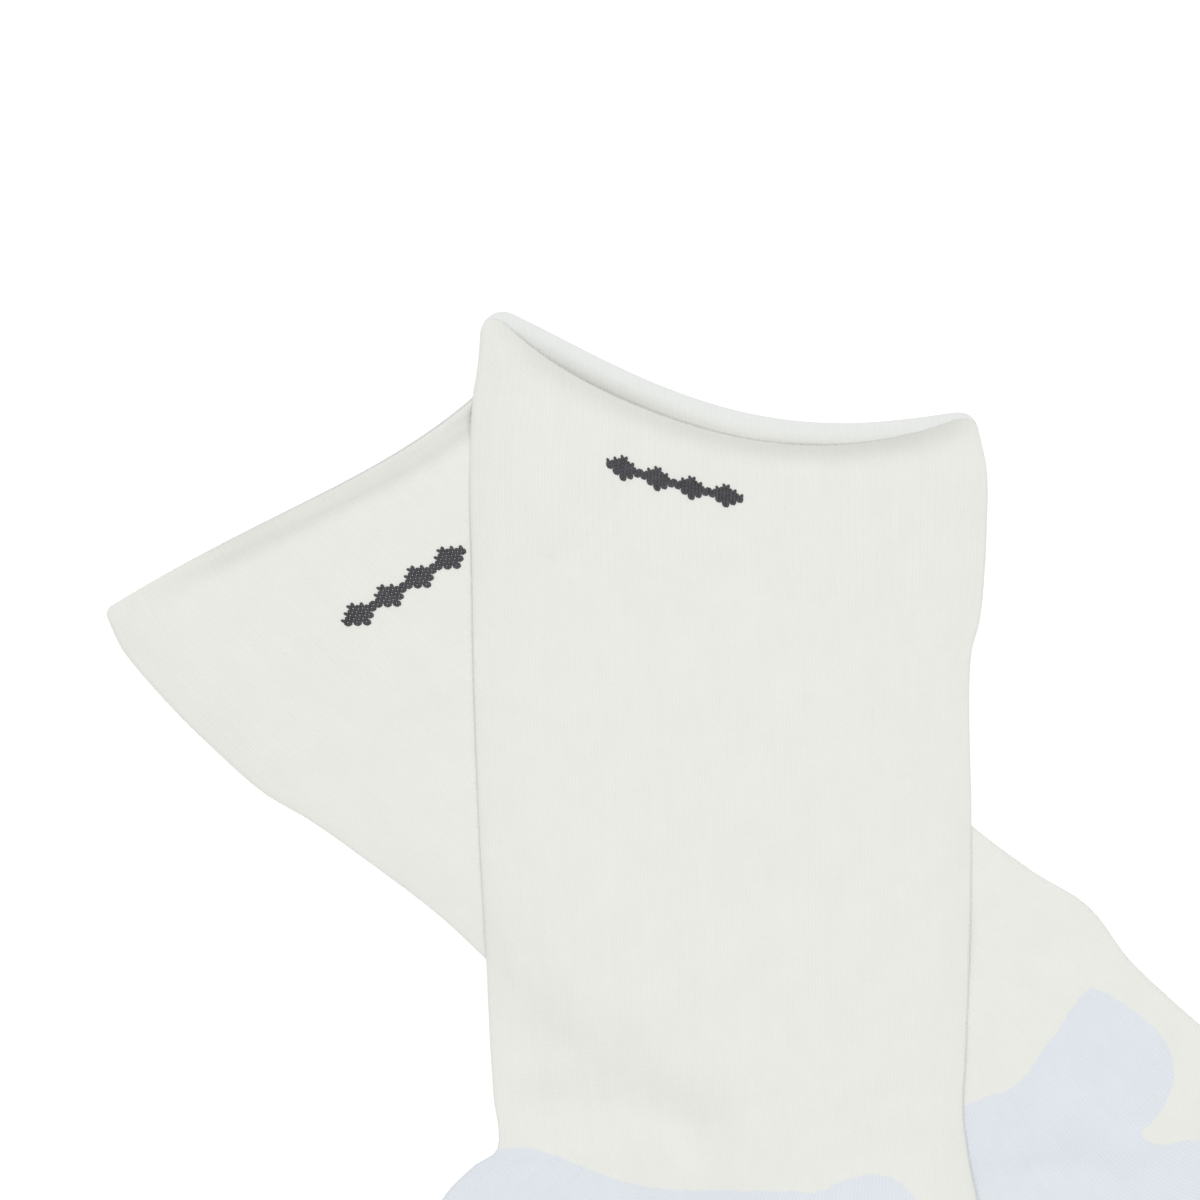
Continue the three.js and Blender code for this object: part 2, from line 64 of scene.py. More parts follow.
WALES = 150
"""Needles round the sock, and so wales of knit round the tube."""
COURSE = 0.86
"""Height of one course of knit, in millimetres."""
SECTION_STEP = 3.0
"""Spacing of the sections that give a sock's outline and its middle line, in millimetres."""
OUTSIDE_PATCH, INSIDE_PATCH = 10.0, -10.0
"""Distances from the padded patch's edge that stand for well outside and well inside it, in millimetres."""
NOISE = (0.3, 0.7)
"""The range that nearly all of a noise texture lies in."""

log = logging.getLogger("socks")


@dataclass(frozen=True)
class Row:
    """One section of a sock: where its two side folds lie, and how thick the sock lies there."""

    heel: tuple[float, float]
    instep: tuple[float, float]
    thick: float


@dataclass(frozen=True)
class Fold:
    """A soft trough in the near wall, or a ridge where depth is positive, on a bow through three places."""

    path: tuple[tuple[float, float], tuple[float, float], tuple[float, float]]
    width: float
    depth: float
    bow_points: int = 13

    def height(self, places: np.ndarray) -> np.ndarray:
        """Height that the fold gives the cloth.

        Args:
            places: Points on the table, one a row.

        Returns:
            The fold's height at each point.
        """
        start, through, end = (np.array(p) for p in self.path)
        pull = 2 * through - (start + end) / 2
        t = np.linspace(0, 1, self.bow_points)[:, None]
        line = (1 - t) ** 2 * start + 2 * t * (1 - t) * pull + t**2 * end
        away = distance_to_lines(places, line[:-1], line[1:])
        return self.depth * np.exp(-((away / self.width) ** 2))


@dataclass(frozen=True)
class Foot:
    """The straight part of the foot: its first mid point, angle from +X, half width, length and thickness."""

    start: tuple[float, float]
    angle: float
    half: float
    length: float
    thick: float = 4.8

    def directions(self) -> tuple[np.ndarray, np.ndarray]:
        """Finds the foot's directions on the table.

        Returns:
            The directions along the foot to the toe, and across it to the instep.
        """
        turn = math.radians(self.angle)
        forward = np.array([math.cos(turn), math.sin(turn)])
        return forward, np.array([-forward[1], forward[0]])

    def place(self, along: float, over: float) -> np.ndarray:
        """A point on the table from its place along the foot and over its middle line."""
        forward, up = self.directions()
        return np.array(self.start) + forward * along + up * over


@dataclass(frozen=True)
class Mouth:
    """The open end: how it sags between its rounded corners, and how its two rims lie on each other.

    The near rim lies a step below the far one and rolls down beside it over the width of its lip. The far
    rim is the plumper roll. A groove runs a little below the near rim where the step is small. Tuck and
    groove are shares of the near wall's height. Shade is painted shade: the share of the yarn's light that
    is taken out of its colour deep in the crease and in the groove. The crease's widths are the near wall's
    and the far one's for that painted shade. Crease tilt and far crease set how strong it is across the
    near wall and on the far one.
    """

    sag: float
    lean: float
    sweep: float
    step: float
    tilt: float
    corner: float
    tuck: float
    lip: float
    shade: float
    puff: float = 0.0
    roll_width: float = 2.4
    groove: float = 0.0
    groove_at: float = 2.1
    groove_tilt: float = 0.3
    groove_widths: tuple[float, float] = (1.8, 2.6)
    groove_fade: tuple[float, float] = (-1.0, -0.4)
    crease_widths: tuple[float, float] = (3.4, 1.8)
    crease_tilt: float = 0.45
    far_crease: float = 0.15


@dataclass(frozen=True)
class Patch:
    """Edge of the padded heel and sole: round the ankle, then along the foot as places along and over it."""

    ankle: tuple[tuple[float, float], ...]
    foot: tuple[tuple[float, float], ...]


def distance_to_lines(places: np.ndarray, starts: np.ndarray, ends: np.ndarray) -> np.ndarray:
    """Distance from each place to the nearest of several straight lines.

    Args:
        places: Points on the table, one a row.
        starts: The lines' first points.
        ends: The lines' last points.

    Returns:
        One distance for each place.
    """
    nearest = np.full(len(places), np.inf)
    for a, b in zip(starts, ends):
        run = b - a
        t = np.clip(((places - a) @ run) / max(run @ run, 1e-9), 0, 1)
        nearest = np.minimum(nearest, np.linalg.norm(places - a - t[:, None] * run, axis=1))
    return nearest


def signed_distance(places: np.ndarray, outline: np.ndarray) -> np.ndarray:
    """Distance from each place to a closed outline, negative inside it.

    Args:
        places: Points on the table, one a row.
        outline: The outline's points in turn.

    Returns:
        One distance for each place.
    """
    ends = np.roll(outline, -1, axis=0)
    inside = np.zeros(len(places), bool)
    for a, b in zip(outline, ends):
        spans = (a[1] > places[:, 1]) != (b[1] > places[:, 1])
        rise = b[1] - a[1] or 1e-9
        inside ^= spans & (places[:, 0] < (b[0] - a[0]) * (places[:, 1] - a[1]) / rise + a[0])
    return np.where(inside, -1, 1) * distance_to_lines(places, outline, ends)


def smooth_step(value: np.ndarray, low: float, high: float) -> np.ndarray:
    """Rises smoothly from 0 at low to 1 at high."""
    t = np.clip((value - low) / (high - low), 0, 1)
    return t * t * (3 - 2 * t)


def curve_through(points: list[np.ndarray], each: int) -> np.ndarray:
    """A smooth curve through points, as short straight lines.

    Args:
        points: The points that the curve passes.
        each: Lines between one point and the next.

    Returns:
        The curve's points, one a row.
    """
    p = np.array([points[0], *points, points[-1]])
    t = np.linspace(0, 1, each, endpoint=False)[:, None]
    parts = []
    for a, b, c, d in zip(p[:-3], p[1:-2], p[2:-1], p[3:]):
        v, w = (c - a) / 2, (d - b) / 2
        parts.append((2 * b - 2 * c + v + w) * t**3 + (3 * c - 3 * b - 2 * v - w) * t**2 + v * t + b)
    return np.vstack([*parts, p[-1:]])


@dataclass
class SockForm:
    """The shape of one sock: a flattened tube through its rows, and the folds and drape of its near wall.

    Pressed is the share of its thickness that the sock keeps at its side folds, and crown is how far its
    middle stands above its rows' thickness. Reaches, fades, ramps and gaps are millimetres.
    """

    name: str
    ankle_rows: tuple[Row, ...]
    foot: Foot
    mouth: Mouth
    folds: tuple[Fold, ...]
    patch: Patch
    seed: float
    under: SockForm | None = None
    crown: float = 0.4
    pressed: float = 0.22
    round_limit: float = 0.8
    under_square: float = 3.0
    swell_reach: float = 8.0
    drape_reach: float = 9.0
    relief_rise: float = 3.0
    closing: float = 0.25
    lip_least: float = 0.08
    rim_fade: float = 48.0
    corner_fade: float = 16.0
    toe_depth: float = 27.0
    toe_round: float = 34.0
    toe_tip: float = 1.2
    toe_thick: float = 0.55
    patch_reach: float = 20.0
    patch_step: float = 18.0
    patch_lines: int = 6
    drape_ramp: float = 17.0
    near_start: float = -12.0
    near_ramp: float = 16.0
    lay_gap: float = 0.08
    table: np.ndarray = field(init=False)
    along: np.ndarray = field(init=False)

    def __post_init__(self) -> None:
        """Joins the ankle's rows and the foot's rows into one table and measures the way along them."""
        rows = [(*row.heel, *row.instep, row.thick) for row in self.ankle_rows]
        self.table = np.array(rows + self.foot_rows())
        mids = (self.table[:, 0:2] + self.table[:, 2:4]) / 2
        steps = np.linalg.norm(np.diff(mids, axis=0), axis=1)
        self.along = np.concatenate([[0.0], np.cumsum(steps)])

    @property
    def length(self) -> float:
        """Way along the sock's middle from the rim to the tip of the toe."""
        return float(self.along[-1])

    def foot_rows(self) -> list[tuple[float, ...]]:
        """Rows of the straight foot, narrowing round the toe.

        Returns:
            For each, the heel fold's x and y, the instep fold's x and y, and the thickness.
        """
        forward, up = self.foot.directions()
        toe = self.foot.length - self.toe_round
        places = [0, toe / 3, 2 * toe / 3, toe]
        places += [toe + self.toe_round * turn for turn in (0.2, 0.4, 0.6, 0.75, 0.87, 0.95)]
        places.append(self.foot.length - self.toe_tip / 2)
        rows = []
        for place in places:
            turn = max(0.0, (place - toe) / self.toe_round)
            narrow = (1 - turn**2.6) ** (1 / 2.2)
            mid = np.array(self.foot.start) + forward * place
            side = up * self.foot.half * narrow
            thick = self.foot.thick * (self.toe_thick + (1 - self.toe_thick) * narrow)
            rows.append((*(mid - side), *(mid + side), thick))
        return rows

    def section(self, along: np.ndarray) -> np.ndarray:
        """The rows' values at places along the sock, by a cubic through the rows beside each.

        Args:
            along: Ways along the sock from the rim, in millimetres.

        Returns:
            Five values for each place: heel x and y, instep x and y, and thickness.
        """
        last = len(self.along) - 1
        i = np.clip(np.searchsorted(self.along, along, side="right") - 1, 0, last - 1)
        before, after = np.maximum(i - 1, 0), np.minimum(i + 2, last)
        span = (self.along[i + 1] - self.along[i])[:, None]
        t = (along - self.along[i])[:, None] / span
        a, b = self.table[i], self.table[i + 1]
        slope_a = (b - self.table[before]) / (self.along[i + 1] - self.along[before])[:, None] * span
        slope_b = (self.table[after] - a) / (self.along[after] - self.along[i])[:, None] * span
        middle = (2 * t**3 - 3 * t**2 + 1) * a + (t**3 - 2 * t**2 + t) * slope_a
        middle += (3 * t**2 - 2 * t**3) * b + (t**3 - t**2) * slope_b
        middle = np.where(t < 0, a + t * slope_a, middle)
        return np.where(t > 1, b + (t - 1) * slope_b, middle)

    def outline(self) -> np.ndarray:
        """The sock's edge as seen from above, as a closed line of points."""
        rows = self.section(np.arange(0, self.length, SECTION_STEP))
        return np.vstack([rows[:, 0:2], rows[::-1, 2:4]])

    def fold_radius(self, rows: np.ndarray) -> np.ndarray:
        """Radius of the side folds at sections of the sock."""
        half = np.linalg.norm(rows[:, 2:4] - rows[:, 0:2], axis=1) / 2
        return np.minimum(rows[:, 4] / 2, half * self.round_limit) * self.pressed

    def lift(self, places: np.ndarray, free: np.ndarray) -> np.ndarray:
        """Height of the surface that the sock lies on, at places on the table.

        Args:
            places: Points on the table, one a row.
            free: 1 where the near wall bridges the step gently, and 0 where the cloth lies close.

        Returns:
            One height for each place: over the sock below, and falling to the table beside it.
        """
        if self.under is None:
            return np.zeros(len(places))
        below = self.under
        away = signed_distance(places, below.outline())
        ways = np.arange(0, below.length, SECTION_STEP)
        rows = below.section(ways)
        mids = (rows[:, 0:2] + rows[:, 2:4]) / 2
        near = np.argmin(((places[:, None, :] - mids[None]) ** 2).sum(2), axis=1)
        thick = rows[near, 4]
        pressed = thick * below.pressed
        swell = (thick - pressed + below.crown) * (1 - np.exp(-np.maximum(-away, 0) / below.swell_reach))
        close = (pressed + swell + self.lay_gap) * (1 - smooth_step(away, 0, self.drape_ramp))
        ramp = 1 - smooth_step(away, self.near_start, self.near_ramp)
        bridged = (thick + below.crown + self.lay_gap) * ramp
        return close + (bridged - close) * free

    def ripple(self, places: np.ndarray) -> np.ndarray:
        """Slow unevenness of cloth that was smoothed by hand: three crossing waves.

        Args:
            places: Points on the table, one a row.

        Returns:
            One height for each, in millimetres.
        """
        x, y = places[:, 0] + 31 * self.seed, places[:, 1] - 17 * self.seed
        height = 0.10 * np.sin(x / 7.3 + 1.7 * np.sin(y / 19.0)) * np.sin(y / 11.0 + 0.6)
        height += 0.08 * np.sin((x + 0.6 * y) / 4.9 + np.sin(y / 13.0))
        height += 0.05 * np.sin((0.8 * x - y) / 3.1 + 2.0 * np.sin(x / 17.0))
        return height

    def place(self, along: np.ndarray, way: np.ndarray, depth: np.ndarray) -> np.ndarray:
        """Points of the cloth.

        Args:
            along: Ways along the sock from the rim, in millimetres.
            way: Ways round the tube: 0 to 1 over the near wall from the heel side to the instep side, 1 to 2
                round the instep fold, 2 to 3 back under the far wall, and 3 to 4 round the heel fold.
            depth: How far each point lies inside the wall's outer face, in millimetres.

        Returns:
            One point for each, in millimetres in the drawing's frame.
        """
        rows = self.section(along)
        heel, instep, thick = rows[:, 0:2], rows[:, 2:4], rows[:, 4]
        across = instep - heel
        wide = np.linalg.norm(across, axis=1)
        half = wide / 2
        across /= wide[:, None]
        toeward = np.stack([across[:, 1], -across[:, 0]], axis=1)
        radius = self.fold_radius(rows)
        inner = np.maximum(radius - depth, 0.0)
        part = np.clip(np.floor(way).astype(int), 0, 3)
        t = way - part
        flat = (half - radius) * np.choose(part, [2 * t - 1, 1, 1 - 2 * t, -1])
        turn = np.choose(part, [np.pi / 2, np.pi / 2 - np.pi * t, -np.pi / 2, -np.pi / 2 - np.pi * t])
        under = (1 - np.abs(np.sin(turn)) ** self.under_square) ** (1 / self.under_square)
        bend = np.where(np.sin(turn) < 0, under, np.abs(np.cos(turn)))
        sideways = flat + np.where(part == 3, -bend, bend) * inner * (part % 2)
        raised = (1 + np.sin(turn)) / 2
        side = np.clip(sideways / half, -1, 1)
        places = (heel + instep) / 2 + across * sideways[:, None]
        places += toeward * self.mouth_shift(along, side, raised, half)[:, None]
        belly = raised * (1 - side**2)
        edge = half * (1 - np.abs(side))
        relief = sum(fold.height(places) for fold in self.folds) + self.ripple(places)
        swell = (thick - 2 * radius) * raised * (1 - np.exp(-edge / self.swell_reach))
        rise = (self.crown * belly + swell) * self.rim_share(along, side)
        full = np.clip(inner / radius / self.closing, 0, 1)
        height = radius + np.sin(turn) * inner
        height += full * (rise + relief * np.minimum(1, self.relief_rise * belly))
        height += self.far_roll(along, side) * (1 - raised) * (1 - inner / radius)
        free = raised * (1 - np.exp(-edge / self.drape_reach))
        return np.column_stack([places, height + self.lift(places, free)])

    def rim_share(self, along: np.ndarray, side: np.ndarray) -> np.ndarray:
        """Share of its height that the near wall keeps where its lip rolls down and in the groove below.

        Args:
            along: Ways along the sock from the rim, in millimetres.
            side: Places across it, from the heel fold, -1, to the instep fold, 1.

        Returns:
            One share for each point.
        """
        lip = np.exp(-((along / self.mouth.lip) ** 2))
        lost = self.mouth.tuck * lip + self.mouth.groove * self.groove_line(along, side)
        return np.maximum(1 - lost, self.lip_least)

    def far_roll(self, along: np.ndarray, side: np.ndarray) -> np.ndarray:
        """How far the inside of the far rim swells up where it rolls."""
        wide = self.mouth.roll_width
        return self.mouth.puff * (1 - side**8) * np.exp(-(((along - wide) / wide) ** 2))

    def groove_line(self, along: np.ndarray, side: np.ndarray) -> np.ndarray:
        """How strong the groove below the rim is.

        Args:
            along: Ways along the sock from the rim, in millimetres.
            side: Places across it, from the heel fold, -1, to the instep fold, 1.

        Returns:
            One strength for each point, from 0 to 1.
        """
        past = along - self.mouth.groove_at * (1 + self.mouth.groove_tilt * side)
        wide = np.where(past < 0, *self.mouth.groove_widths)
        return smooth_step(side, *self.mouth.groove_fade) * np.exp(-((past / wide) ** 2))

    def crease_shade(self, along: np.ndarray, way: np.ndarray) -> np.ndarray:
        """How much shade is painted into the yarn's colour deep in the mouth's crease and in the groove below
        the rim, where little light reaches it.

        Args:
            along: Ways along the sock from the rim, in millimetres.
            way: Ways round the tube, 0 to 4.

        Returns:
            The part of its light that each point lacks.
        """
        mouth = self.mouth
        near = way <= 1
        side = np.interp(way, [0, 1, 2, 3, 4], [-1, 1, 1, -1, -1])
        away = np.where(near, along, np.abs(self.near_step(side) - along))
        strength = np.where(near, 1 + mouth.crease_tilt * side, mouth.far_crease) * (mouth.puff > 0)
        crease = np.exp(-((away / np.where(near, *mouth.crease_widths)) ** 2)) * strength
        groove = self.groove_line(along, side) * near * (mouth.groove > 0)
        return mouth.shade * (1 - np.abs(side) ** 10) * (crease + groove)

    def wales(self, along: np.ndarray, way: np.ndarray) -> np.ndarray:
        """Number of wales from the near wall's heel side, round the tube.

        Args:
            along: Ways along the sock from the rim, in millimetres.
            way: Ways round the tube, 0 to 4.

        Returns:
            A number of wales for each, with its fraction.
        """
        rows = self.section(along)
        radius = self.fold_radius(rows)
        flat = np.linalg.norm(rows[:, 2:4] - rows[:, 0:2], axis=1) - 2 * radius
        bend = np.pi * radius
        part = np.floor(way)
        t = way - part
        runs = [flat * t, flat + bend * t, flat * (1 + t) + bend, 2 * flat + bend * (1 + t)]
        run = np.choose(part.astype(int) % 4, runs)
        run = np.where(way >= 4, 2 * (flat + bend), run)
        return WALES * run / (2 * (flat + bend))

    def mouth_shift(
        self, along: np.ndarray, side: np.ndarray, raised: np.ndarray, half: np.ndarray
    ) -> np.ndarray:
        """How far points move towards the toe because the mouth sags and its corners are round.

        Args:
            along: Ways along the sock from the rim, in millimetres.
            side: Places across it, from the heel fold, -1, to the instep fold, 1.
            raised: 1 on the near wall and 0 on the far one.
            half: Half its width.

        Returns:
            One shift for each point, in millimetres.
        """
        mouth = self.mouth
        leaned = side - mouth.lean * (1 - side**2)
        far = mouth.sag * np.maximum(0, 1 - leaned**2) ** mouth.sweep
        near = self.near_step(side)
        turned = np.clip((np.abs(side) - 1) * half / mouth.corner + 1, 0, 1)
        corner = mouth.corner * (1 - np.sqrt(1 - turned**2))
        shift = np.clip(1 - along / self.rim_fade, 0, 1) * (far + near * raised)
        return shift + corner * np.clip(1 - along / self.corner_fade, 0, 1)

    def near_step(self, side: np.ndarray) -> np.ndarray:
        """How far the near rim lies below the far one, from the heel fold, -1, to the instep fold, 1."""
        return (self.mouth.step - self.mouth.tilt * side) * (1 - np.abs(side) ** 5)

    def patch_outline(self) -> np.ndarray:
        """Outline of the padded heel and sole, run well outside the heel side of the sock.

        Returns:
            The points of the closed outline, one a row.
        """
        reach = self.patch_reach
        points = [np.array(p) for p in self.patch.ankle]
        points += [self.foot.place(*p) for p in self.patch.foot]
        edge = curve_through(points, self.patch_lines)
        lead = edge[0] + reach * (edge[0] - edge[1]) / np.linalg.norm(edge[0] - edge[1])
        rows = self.section(np.arange(0, self.length - self.toe_round, self.patch_step))
        across = rows[:, 2:4] - rows[:, 0:2]
        beside = rows[:, 0:2] - reach * across / np.linalg.norm(across, axis=1)[:, None]
        first = np.argmin(np.linalg.norm(rows[:, 0:2] - edge[0], axis=1))
        corner = self.foot.place(self.foot.length + reach, -self.foot.half - reach)
        last = self.foot.place(self.foot.length + reach, self.patch.foot[-1][1])
        return np.vstack([beside[first + 1 :], corner, last, edge[::-1], lead])


class Side(Enum):
    """Which side of the padded patch's edge a piece of cloth lies on."""

    OUTSIDE = 1
    INSIDE = -1


@dataclass
class ClothPiece:
    """A stretch of a sock's tube that becomes one object.

    The sheet starts as a flat grid, one column for each place round the tube and one row for each place
    along it. It is cut along the padded patch's edge, laid on the sock's form and closed round the tube.
    Rows are ways along the sock, depths are how deep in its wall those rows lie, and columns are ways round
    it. Sharp is the angle, in degrees, past which an edge is not smooth. Other sizes are millimetres.
    """

    form: SockForm
    name: str
    rows: np.ndarray
    depths: np.ndarray
    columns: np.ndarray
    side: Side | None = None
    beads: float = 0.0
    turned: bool = False
    thickness: float = 0.0
    plain: float = OUTSIDE_PATCH
    snap: float = 0.12
    inner_depth: tuple[float, float] = (0.15, 0.5)
    inner_end: tuple[float, float] = (2.0, 4.6)
    merge: float = 0.001
    sharp: float = 50.0

    def build(self) -> bpy.types.Object:
        """Makes the piece's object.

        Returns:
            The finished object, linked to the scene.
        """
        bm = bmesh.new()
        bmesh.ops.create_grid(bm, x_segments=len(self.columns) - 1, y_segments=len(self.rows) - 1, size=0.5)
        bmesh.ops.translate(bm, verts=bm.verts, vec=(0.5, 0.5, 0))
        bmesh.ops.scale(bm, verts=bm.verts, vec=(len(self.columns) - 1, len(self.rows) - 1, 1))
        edge = bm.verts.layers.float.new("patch_edge")
        verts = list(bm.verts)
        along, way, depth = self.ways(np.array([v.co for v in verts]))
        away = np.full(len(verts), self.plain)
        if self.side is not None:
            away = signed_distance(self.form.place(along, way, depth)[:, :2], self.form.patch_outline())
            away = np.where(np.abs(away) < self.snap, 0.0, away)
        for vert, value in zip(verts, away):
            vert[edge] = value
        if self.side is not None:
            self.cut(bm, edge)
        mesh = bpy.data.meshes.new(self.name)
        bm.to_mesh(mesh)
        bm.free()
        self.lay(mesh)
        self.close(mesh)
        piece = new_object(mesh)
        if self.thickness:
            wall = piece.modifiers.new("wall", "SOLIDIFY")
            wall.thickness = self.thickness * MM
            wall.offset = -1
            wall.use_even_offset = False
        return piece

    def ways(self, grid: np.ndarray) -> tuple[np.ndarray, np.ndarray, np.ndarray]:
        """Finds where places on the flat grid lie on the sock.

        Args:
            grid: Places on the grid, one a row.

        Returns:
            Their ways along the sock, their ways round it, and their depths in its wall.
        """
        steps = np.arange(len(self.rows))
        along = np.interp(grid[:, 1], steps, self.rows)
        depth = np.interp(grid[:, 1], steps, self.depths)
        return along, np.interp(grid[:, 0], np.arange(len(self.columns)), self.columns), depth

    def cut(self, bm: bmesh.types.BMesh, edge: bmesh.types.BMLayerItem) -> None:
        """Cuts the flat sheet along the patch's edge and drops what lies on the other side.

        Args:
            bm: The flat sheet.
            edge: Its layer of distances from the patch's edge.
        """
        crossed = [e for e in bm.edges if e.verts[0][edge] * e.verts[1][edge] < 0]
        for e in crossed:
            a, b = e.verts
            _, vert = bmesh.utils.edge_split(e, a, a[edge] / (a[edge] - b[edge]))
            vert[edge] = 0.0
        bmesh.ops.connect_verts(bm, verts=[v for v in bm.verts if v[edge] == 0.0])
        drop = [f for f in bm.faces if sum(v[edge] for v in f.verts) * self.side.value < 0]
        bmesh.ops.delete(bm, geom=drop, context="FACES")

    def lay(self, mesh: bpy.types.Mesh) -> None:
        """Lays the flat sheet on the sock's form, with its stitches numbered in a UV map.

        Args:
            mesh: The flat sheet.
        """
        flat = np.empty(len(mesh.vertices) * 3)
        mesh.vertices.foreach_get("co", flat)
        along, way, depth = self.ways(flat.reshape(-1, 3))
        wale = self.form.wales(along, way)
        depth = depth - self.beads * np.abs(np.sin(np.pi * wale)) * (depth < 0)
        points = (self.form.place(along, way, depth) - ORIGIN) * MM
        mesh.vertices.foreach_set("co", points.ravel())
        inner = smooth_step(depth, *self.inner_depth) * (1 - smooth_step(along, *self.inner_end))
        inner *= self.turned
        mesh.attributes.new("inner_face", "FLOAT", "POINT").data.foreach_set("value", inner)
        # Painted shade for the mouth's crease and groove, which the material takes out of the yarn's colour.
        shade = self.form.crease_shade(along, way) * self.turned
        mesh.attributes.new("crease_shade", "FLOAT", "POINT").data.foreach_set("value", shade)
        corners = np.empty(len(mesh.loops), np.int32)
        mesh.loops.foreach_get("vertex_index", corners)
        stitches = mesh.uv_layers.new(name="stitches")
        stitches.data.foreach_set("uv", np.column_stack([wale, along / COURSE])[corners].ravel())

    def close(self, mesh: bpy.types.Mesh) -> None:
        """Closes the tube where its sides meet and at a tip or hem, and turns its faces outward.

        Args:
            mesh: The sheet, laid on the sock's form.
        """
        bm = bmesh.new()
        bm.from_mesh(mesh)
        bmesh.ops.remove_doubles(bm, verts=bm.verts, dist=self.merge * MM)
        bmesh.ops.reverse_faces(bm, faces=bm.faces)
        for face in bm.faces:
            face.smooth = True
        for e in bm.edges:
            e.smooth = not e.is_boundary and e.calc_face_angle(0.0) < math.radians(self.sharp)
        bm.to_mesh(mesh)
        bm.free()


def new_object(data: bpy.types.Mesh | bpy.types.Light | bpy.types.Camera) -> bpy.types.Object:
    """Makes an object and links it to the scene.

    Args:
        data: What the object shows, which also names it.

    Returns:
        The new object.
    """
    made = bpy.data.objects.new(data.name, data)
    bpy.context.scene.collection.objects.link(made)
    return made


def new_material(name: str) -> bpy.types.Material:
    """Makes a material whose node tree is empty.

    Args:
        name: The material's name.

    Returns:
        The new material.
    """
    material = bpy.data.materials.new(name)
    material.use_nodes = True
    material.node_tree.nodes.clear()
    return material


def linear(code: str) -> tuple[float, float, float, float]:
    """Turns an sRGB hex colour into a linear one with full alpha."""
    channels = [int(code[i : i + 2], 16) / 255 for i in (1, 3, 5)]
    return (*[c / 12.92 if c <= 0.04045 else ((c + 0.055) / 1.055) ** 2.4 for c in channels], 1.0)


def add(
    tree: bpy.types.NodeTree, kind: str, links: dict[str | int, object] | None = None, **settings: object
) -> bpy.types.Node:
    """Adds one node to a material.

    Args:
        tree: The material's node tree.
        kind: Blender's name for the node.
        links: For each input, its value, the output that feeds it, or the node whose first output does.
        **settings: The node's own settings.

    Returns:
        The new node.
    """
    node = tree.nodes.new(kind)
    for key, value in settings.items():
        setattr(node, key, value)
    for key, value in (links or {}).items():
        if isinstance(value, bpy.types.Node):
            value = value.outputs[0]
        if isinstance(value, bpy.types.NodeSocket):
            tree.links.new(value, node.inputs[key])
        else:
            node.inputs[key].default_value = value
    return node


